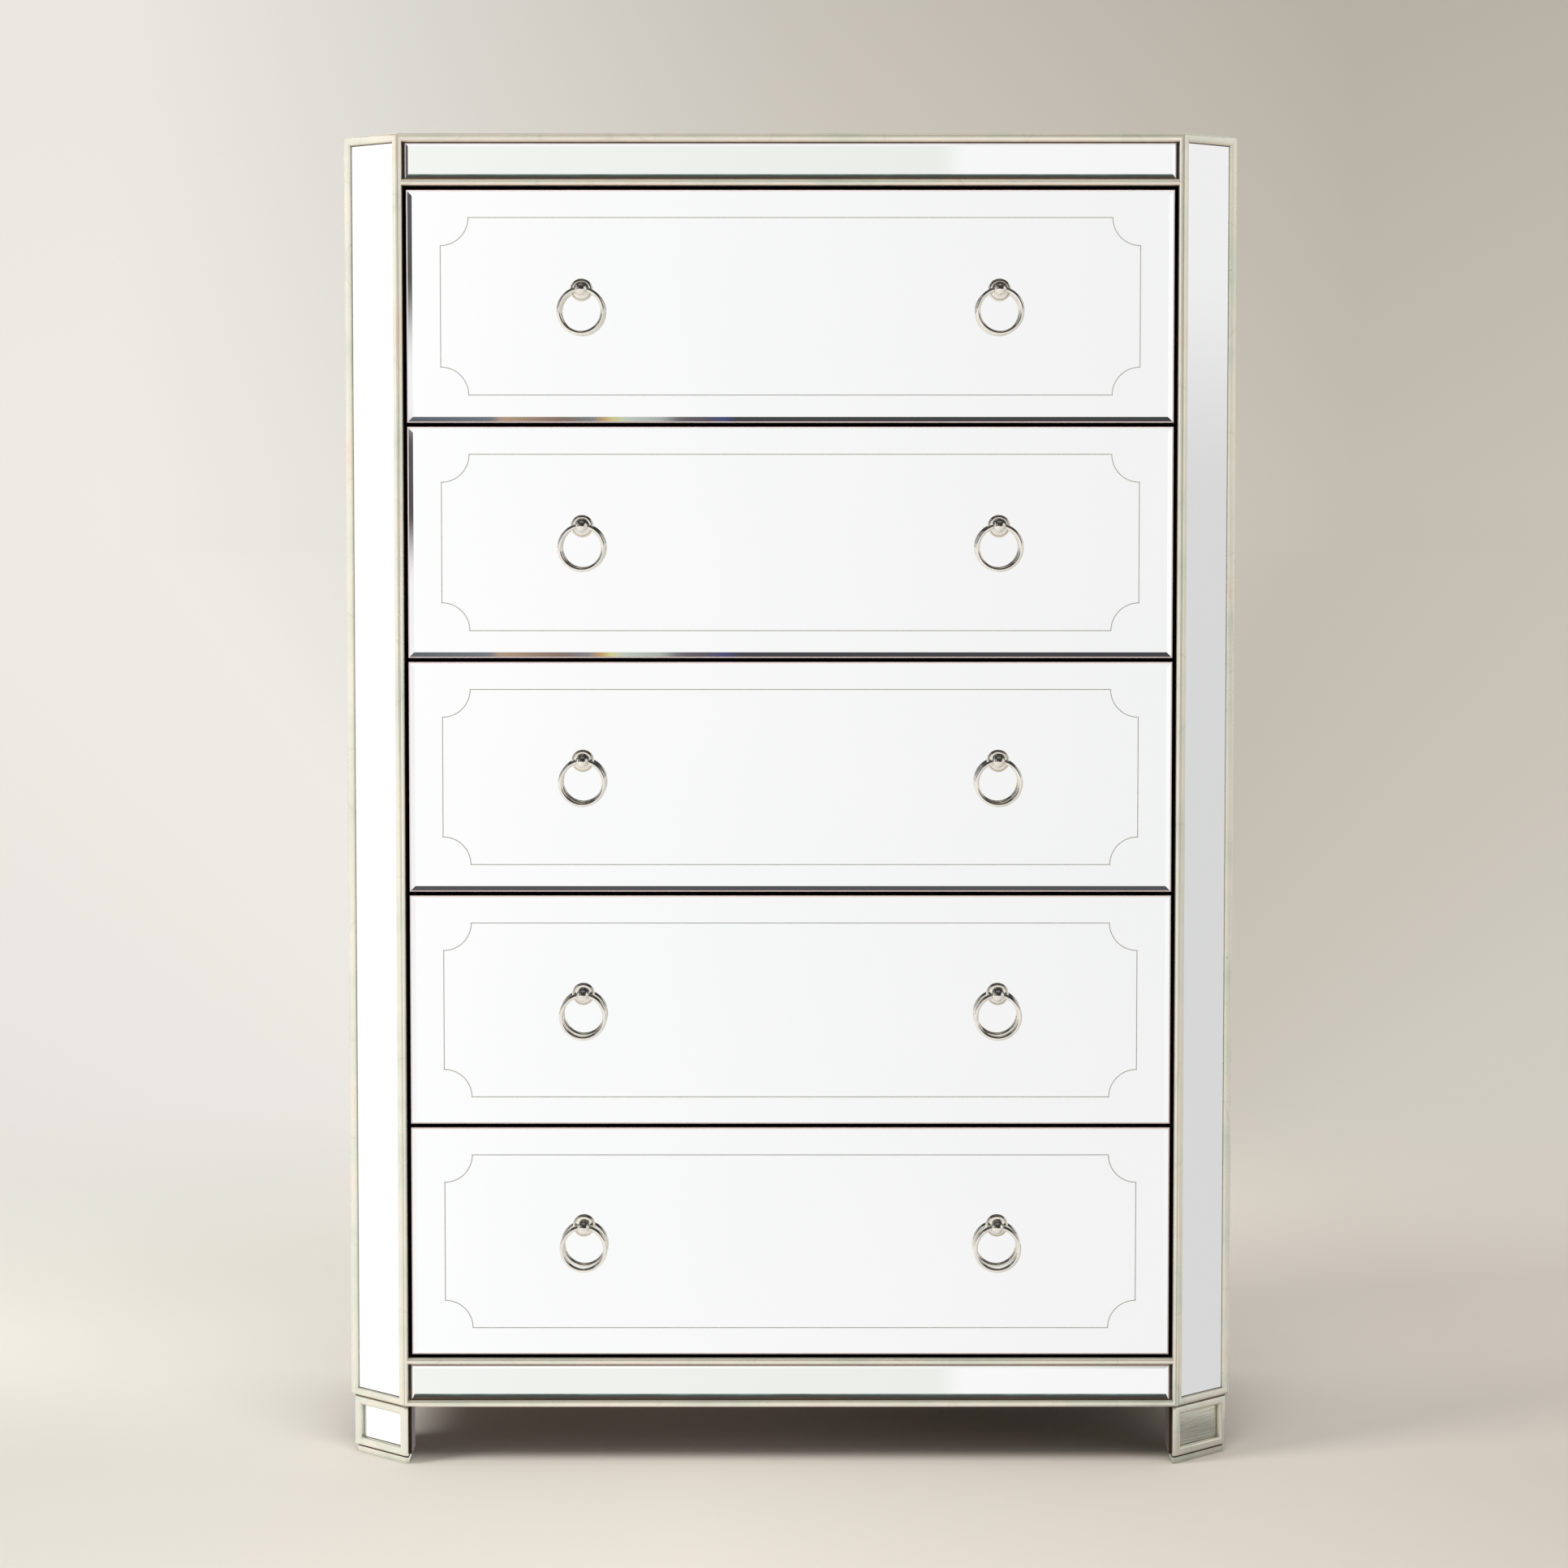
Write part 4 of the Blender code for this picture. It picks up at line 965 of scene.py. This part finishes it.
foot = canted_block("front_right_foot_frame", 0, FOOT_BASE, FOOT_TOP, leaf_finish, inner=LEAF_START)
edit(foot)
sink_panel(CANT, FOOT_POCKET)
rim = round_edges(lambda edge: all(on_cant(v) and in_pocket(v) for v in edge.verts), 0.0040, 6, 0.58)
border = round_edges(lambda edge: is_sharp(edge)
                     and (all(on_cant(v) and not in_pocket(v) for v in edge.verts)
                          or all(abs(v.co.y - FOOT_FACE) < TOUCH for v in edge.verts)
                          and any(v.co.x > FOOT_INNER + LEAF_START + TOUCH for v in edge.verts)), 0.0030, 5, 0.55)
leave_edit()
core = canted_block("foot_core", 0, FOOT_BASE + CORE_SHORT, FOOT_TOP - CORE_SHORT, ground_finish, front=CORE_SUNK,
                    cant=FOOT_POCKET + BEHIND_POCKET)
# Painted shade: the dark brown neck draws the shadow line under the border.
shadow_line_neck = canted_block("foot_painted_shadow_neck", NECK_INSET, FOOT_BASE - FOOT_NECK, FOOT_BASE + NECK_LAP, ground_finish)
base = canted_block("foot_base", BASE_INSET, 0.0, FOOT_BASE - FOOT_NECK, leaf_finish)
shape_base(base, 0.966)
right_foot = join_pieces("front_right_foot_leaf", [base, shadow_line_neck, core, foot])
tidy_mesh(right_foot)
set_in_pair(right_foot, "front_left_foot_leaf", "front_{}_foot")
print("front foot: rounded", rim, "pocket edges and", border, "outer edges")

# %% [markdown]
# ## The back feet
#
# The back feet are plain blocks on the same low base. They can't be seen in the photograph. Rounded edges and
# a shallow panel sunk in the outer side tie them to the front ones.

# %% Back feet
BACK_FOOT_SIDE = 0.050
BACK_FOOT_INNER = FOOT_OUTER - BACK_FOOT_SIDE
BACK_FOOT_NEAR = BACK - BACK_FOOT_SIDE
BACK_FOOT_FAR = BACK - FOOT_SETBACK
BACK_PANEL_SUNK = 0.003


def on_outer_side(v):
    """Whether a vertex lies in the back foot's outer side."""
    return v.co.x > FOOT_OUTER - TOUCH


def in_panel(v):
    """Whether a vertex lies within the border's depth."""
    return BACK_FOOT_NEAR + FOOT_BORDER / 2 < v.co.y < BACK_FOOT_FAR - FOOT_BORDER / 2


back_foot = add_block("back_foot", (BACK_FOOT_INNER, BACK_FOOT_NEAR, FOOT_BASE), (FOOT_OUTER, BACK_FOOT_FAR, FOOT_TOP))
edit(back_foot)
sink_panel(Vector((1, 0, 0)), BACK_PANEL_SUNK)
round_edges(lambda edge: all(on_outer_side(v) and in_panel(v) for v in edge.verts), 0.0026, 5, 0.58)
round_edges(lambda edge: is_sharp(edge) and (all(on_outer_side(v) and not in_panel(v) for v in edge.verts)
                                             or all(abs(v.co.z - FOOT_TOP) < TOUCH for v in edge.verts)
                                             or rise_of(edge) > 0.04), 0.0028, 5, 0.55)
leave_edit()
back_base = add_block("back_base", (BACK_FOOT_INNER + BASE_INSET, BACK_FOOT_NEAR + BASE_INSET, 0),
                      (FOOT_OUTER - BASE_INSET, BACK_FOOT_FAR - BASE_INSET, FOOT_BASE))
shape_base(back_base, 0.95)
right_back_foot = join_pieces("back_right_foot_leaf", [back_base, back_foot])
tidy_mesh(right_back_foot)
set_in_pair(right_back_foot, "back_left_foot_leaf", "back_{}_foot", leaf_finish)
print("back foot:", len(right_back_foot.data.polygons), "faces")

# %% [markdown]
# ## The drawer mirrors
#
# A drawer mirror starts as a plain slab of glass. Its front face is inset twice and the rims are pushed back:
# the narrow outer step is the frosted seam, and the wide inner one is the ground bevel. The decorative line is
# then cut with thin diamond-section tools, four straight and four bent round the scooped corners, and two
# holes let the studs of the pulls through. One pane is modelled, and the other four drawers get copies.

# %% Drawer mirror: slab, seam and bevel
DRAWER_HALF_WIDTH = 0.3986
DRAWER_HALF_HEIGHT = 0.12026
GLASS_FACE = FRONT + 0.001
GLASS_THICKNESS = 0.004
SEAM_WIDTH = 0.0013
BEVEL_WIDTH = 0.006
BEVEL_DEPTH = 0.001
SEAM_DEPTH = 0.0006


def glass_slab(name, half_width, half_height, bevel_width=BEVEL_WIDTH, face_finish=mirror_finish):
    """A pane at the origin with a frosted seam and a ground bevel, its face at y = 0."""
    pane = add_block(name, (-half_width, 0, -half_height), (half_width, GLASS_THICKNESS, half_height))
    for finish in (face_finish, bevel_finish, edge_finish):
        pane.data.materials.append(finish)
    edit(pane)
    use_slot(2)
    pick("FACE", lambda face: faces_out(face, (0, -1, 0)))
    bpy.ops.mesh.inset(thickness=SEAM_WIDTH)
    use_slot(1)
    bpy.ops.mesh.inset(thickness=bevel_width - SEAM_WIDTH)
    use_slot(0)
    for rim, depth in ((bevel_width / 2, BEVEL_DEPTH), (SEAM_WIDTH / 2, SEAM_DEPTH)):
        pick("VERT", lambda v: v.co.y < GLASS_THICKNESS / 2 and (abs(v.co.x) > half_width - rim
                                                                 or abs(v.co.z) > half_height - rim))
        bpy.ops.transform.translate(value=(0, depth, 0))
    leave_edit()
    return pane


pane = glass_slab("drawer_pane", DRAWER_HALF_WIDTH, DRAWER_HALF_HEIGHT)
print("slab:", len(pane.data.polygons), "faces")

# %% [markdown]
# The straight tools are four-sided rods lying along the line, and the bent ones are spun: a small diamond is
# swept a quarter turn about the pane's own corner of the line, so that the corner is scooped inwards. Each tool
# lies a tenth of a millimetre in front of the glass, because a Boolean goes wrong where an edge of the tool lies
# exactly in the face that it cuts.

# %% Drawer mirror: cut line and holes
LINE_HALF_WIDTH = DRAWER_HALF_WIDTH - 0.0353
LINE_HALF_HEIGHT = DRAWER_HALF_HEIGHT - 0.0285
SCOOP = 0.029
LINE_WIDTH = 0.0010
TOOL_LIFT = 0.0001
TOOL_RADIUS = LINE_WIDTH / 2 + TOOL_LIFT
SCOOP_STEPS = 20


def straight_tool(start, end):
    """A four-sided rod along a straight of the cut line, an edge of it pointing forwards."""
    start, end = Vector(start), Vector(end)
    bpy.ops.mesh.primitive_cylinder_add(vertices=4, radius=TOOL_RADIUS, depth=(end - start).length + LINE_WIDTH,
                                        location=(start + end) / 2 - Vector((0, TOOL_LIFT, 0)))
    tool = bpy.context.object
    if abs(end.x - start.x) > 0.01:
        tool.rotation_euler = (0, math.radians(90), 0)
    tool.data.materials.append(line_finish)
    return settle(tool)


def scoop_tool(x, z):
    """A small diamond spun a quarter turn about a corner of the line, towards the middle of the pane."""
    side, lift = math.copysign(1, x), math.copysign(1, z)
    bpy.ops.mesh.primitive_circle_add(vertices=4, radius=TOOL_RADIUS, fill_type="NGON",
                                      location=(x - side * SCOOP, -TOOL_LIFT, z + lift * LINE_WIDTH / 2))
    tool = settle(bpy.context.object)
    overrun = math.asin(LINE_WIDTH / 2 / SCOOP)
    turn = (math.radians(90) + 2 * overrun) * side * lift
    edit(tool)
    bpy.ops.mesh.spin(steps=SCOOP_STEPS, angle=turn, center=(x, 0, z), axis=(0, 1, 0))
    leave_edit()
    tool.data.materials.append(line_finish)
    tidy_mesh(tool)
    return tool


def cut(target, tools):
    """Cut tools out of a piece with Boolean modifiers, apply them, and put the tools away."""
    for tool in tools:
        select_only(target)
        knife = target.modifiers.new("cut", "BOOLEAN")
        knife.operation = "DIFFERENCE"
        knife.solver = "EXACT"
        knife.material_mode = "TRANSFER"
        knife.object = tool
        bpy.ops.object.modifier_apply(modifier=knife.name)
        bpy.data.objects.remove(tool)


w, h = LINE_HALF_WIDTH, LINE_HALF_HEIGHT
tools = [straight_tool((-w + SCOOP, 0, z), (w - SCOOP, 0, z)) for z in (-h, h)]
tools += [straight_tool((x, 0, -h + SCOOP), (x, 0, h - SCOOP)) for x in (-w, w)]
tools += [scoop_tool(x, z) for x in (-w, w) for z in (-h, h)]
cut(pane, tools)

PULL_SPREAD = 0.434
PULL_RISE = 0.017
STUD_HOLE_RADIUS = 0.0024
holes = []
for x in (-PULL_SPREAD / 2, PULL_SPREAD / 2):
    bpy.ops.mesh.primitive_cylinder_add(vertices=24, radius=STUD_HOLE_RADIUS, depth=5 * GLASS_THICKNESS,
                                        location=(x, 0, PULL_RISE), rotation=(math.radians(90), 0, 0))
    holes.append(settle(bpy.context.object))
    holes[-1].data.materials.append(edge_finish)
cut(pane, holes)
tidy_mesh(pane)
print("pane:", len(pane.data.polygons), "faces, finishes:", [slot.name for slot in pane.material_slots])

# %% [markdown]
# The five drawers are of one size, so each gets a copy of the finished pane. It rides on its drawer's body, and
# the first pane is then thrown away.

# %% Drawer mirrors in place
DRAWER_MIDDLES = [1.21784, 0.97292, 0.72800, 0.48308, 0.23816]

for number, middle in enumerate(DRAWER_MIDDLES, start=1):
    glass = copy_piece(pane, f"drawer_{number}_bevelled_mirror")
    glass.location = (0, GLASS_FACE, middle)
    settle(glass)
    set_in(glass, f"drawer_{number}", [f"drawer_{number}_mirror"])
bpy.data.objects.remove(pane)
print("drawer mirrors at", DRAWER_MIDDLES)

# %% [markdown]
# ## The rail mirrors
#
# The narrow mirrors above and below the drawers are made like the drawer panes, with the same seam and bevel.
# Their lower bevel gets a finish of its own with painted shade along its whole length, and the lower rail's is a
# little taller.

# %% Rail mirrors
RAIL_HALF_WIDTH = OPENING_HALF - 0.003
RAIL_HALF_HEIGHT = RAIL_FIELD / 2 - 0.0006
RAIL_GLASS_FACE = FRONT + 0.003
RAIL_BEVEL = 0.0035

for name, middle, strip in (("lower_rail", LOWER_RAIL_BEAD - RAIL_FIELD / 2, 0.0064),
                            ("upper_rail", UPPER_RAIL_BEAD + BEAD_WIDTH + RAIL_FIELD / 2, 0.0045)):
    glass = glass_slab(name + "_bevelled_mirror", RAIL_HALF_WIDTH, RAIL_HALF_HEIGHT, RAIL_BEVEL, rail_finish)
    glass.data.materials.append(strip_finish(name + "_painted_shade_bevel", middle - RAIL_HALF_HEIGHT, strip))
    edit(glass)
    pick("VERT", lambda v: v.co.y < TOUCH and v.co.z < 0)
    bpy.ops.transform.translate(value=(0, 0, strip - RAIL_BEVEL))
    strip_faces = pick("FACE", lambda face: face.normal.y < -0.5
                       and face.calc_center_median().z < -RAIL_HALF_HEIGHT + strip)
    use_slot(3)
    leave_edit()
    glass.location = (0, RAIL_GLASS_FACE, middle)
    settle(glass)
    set_in(glass, "cabinet", [name + "_mirror"])
    print(name, "dark faces:", strip_faces)

# %% [markdown]
# ## The ring pulls: posts
#
# A pull post is turned on a lathe in one piece: a dished rosette with a raised rim, a short stem and a ball.
# The half outline is drawn point by point with extrusions from a single vertex and spun a full turn. The ball
# is then cross-drilled for the ring. The stud behind the rosette goes through the glass.

# %% Pull posts
BALL_RADIUS = 0.007
BALL_STANDOFF = 0.015
BALL_STEPS = 14
NECK_RADIUS = 0.0028
RING_HOLE_RADIUS = 0.0033
TURNED_STEPS = 48


def turned_piece(name, outline):
    """Spin an outline of (radius, y) points, which starts and ends on the axis, about Y."""
    bpy.ops.mesh.primitive_plane_add(size=0.001)
    piece = bpy.context.object
    piece.name = name
    edit(piece)
    bpy.ops.mesh.select_mode(type="VERT")
    bpy.ops.mesh.merge(type="CENTER")
    here = Vector((0, 0, 0))
    for radius, y in outline:
        there = Vector((radius, y, 0))
        bpy.ops.mesh.extrude_region_move(TRANSFORM_OT_translate={"value": there - here})
        here = there
    mesh = bmesh.from_edit_mesh(piece.data)
    mesh.verts.ensure_lookup_table()
    bmesh.ops.delete(mesh, geom=[mesh.verts[0]], context="VERTS")
    bmesh.update_edit_mesh(piece.data)
    bpy.ops.mesh.select_all(action="SELECT")
    bpy.ops.mesh.spin(steps=TURNED_STEPS, angle=math.radians(360), center=(0, 0, 0), axis=(0, 1, 0))
    leave_edit()
    tidy_mesh(piece)
    return piece


ball_end = math.pi - math.asin(NECK_RADIUS / BALL_RADIUS)
angles = [ball_end * step / BALL_STEPS for step in range(BALL_STEPS + 1)]
outline = [(BALL_RADIUS * math.sin(angle), -BALL_STANDOFF - BALL_RADIUS * math.cos(angle)) for angle in angles]
outline += [(0.0026, -0.0062), (0.0030, -0.0050), (0.0046, -0.0040), (0.0054, -0.0028), (0.0066, -0.00232),
            (0.0094, -0.0023), (0.0100, -0.0029), (0.0106, -0.0032), (0.0112, -0.0029), (0.0117, -0.0021),
            (0.0118, -0.0012), (0.0118, -0.0003), (0.0020, -0.0003), (0.0020, 0.0170), (0, 0.0170)]
post = turned_piece("pull_post", outline)
bpy.ops.mesh.primitive_cylinder_add(vertices=32, radius=RING_HOLE_RADIUS, depth=0.03,
                                    location=(0, -BALL_STANDOFF, 0), rotation=(0, math.radians(90), 0))
cut(post, [settle(bpy.context.object)])
smooth_by_angle(post, 32)
print("post:", len(post.data.polygons), "faces")

# %% [markdown]
# ## The ring pulls: rings
#
# Each ring is a length of round wire, bent to a circle and brazed. A round section is spun about the ring's
# middle, so the ring is one closed body with even faces. It rides on its own body, so that it can swing.

# %% Rings
RING_RADIUS = 0.0228
WIRE_RADIUS = 0.0024
WIRE_STEPS = 20
RING_STEPS = 88
RING_LIFT = (RING_RADIUS - math.sqrt(RING_RADIUS ** 2 - BALL_RADIUS ** 2)) / 2

bpy.ops.mesh.primitive_circle_add(vertices=WIRE_STEPS, radius=WIRE_RADIUS, location=(0, 0, RING_LIFT),
                                  rotation=(0, math.radians(90), 0))
ring = settle(bpy.context.object)
ring.name = "ring"
edit(ring)
bpy.ops.mesh.spin(steps=RING_STEPS, angle=math.radians(360), center=(0, 0, RING_LIFT - RING_RADIUS), axis=(0, 1, 0))
leave_edit()
tidy_mesh(ring)
smooth_by_angle(ring, 60)

for number, middle in enumerate(DRAWER_MIDDLES, start=1):
    for side, x in (("left", -PULL_SPREAD / 2), ("right", PULL_SPREAD / 2)):
        drawer = f"drawer_{number}"
        knob = copy_piece(post, f"{drawer}_{side}_turned_post")
        knob.location = (x, GLASS_FACE, middle + PULL_RISE)
        settle(knob)
        set_in(knob, drawer, [f"{drawer}_{side}_pull_post"], nickel_finish)
        loop = copy_piece(ring, f"{drawer}_{side}_bent_ring")
        loop.location = (x, GLASS_FACE - BALL_STANDOFF, middle + PULL_RISE)
        settle(loop)
        set_in(loop, f"{drawer}_{side}_ring", [f"{drawer}_{side}_ring"], nickel_finish)
bpy.data.objects.remove(post)
bpy.data.objects.remove(ring)
print("ten posts and ten rings placed")

# %% [markdown]
# ## Finishes for the CAD nodes that stay
#
# Boards, boxes, runners and the flat panes already have their right shape in the CAD, so they keep it and only
# get a better finish. The end of a node's name says what it is made of, and the first line that fits counts.

# %% Finish the CAD nodes
MADE_OF = ((("front_right_foot_mirror",), streaked_finish), (("mirror",), mirror_finish),
           (("_box", "runner_panel"), hardwood_finish), (("back_panel",), grey_finish),
           (("bottom_board",), ground_finish), (("foot", "trim"), leaf_finish), (("_ring", "_post"), nickel_finish),
           (("",), black_finish))

for name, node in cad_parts.items():
    for slot in node.material_slots:
        slot.material = next(finish for endings, finish in MADE_OF if name.endswith(endings))
print("finished", len(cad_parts), "CAD nodes")

# %% [markdown]
# ## Last settings
#
# The colours are shown as they are written, so the view transform is Standard.

# %% View transform
bpy.context.scene.view_settings.view_transform = "Standard"
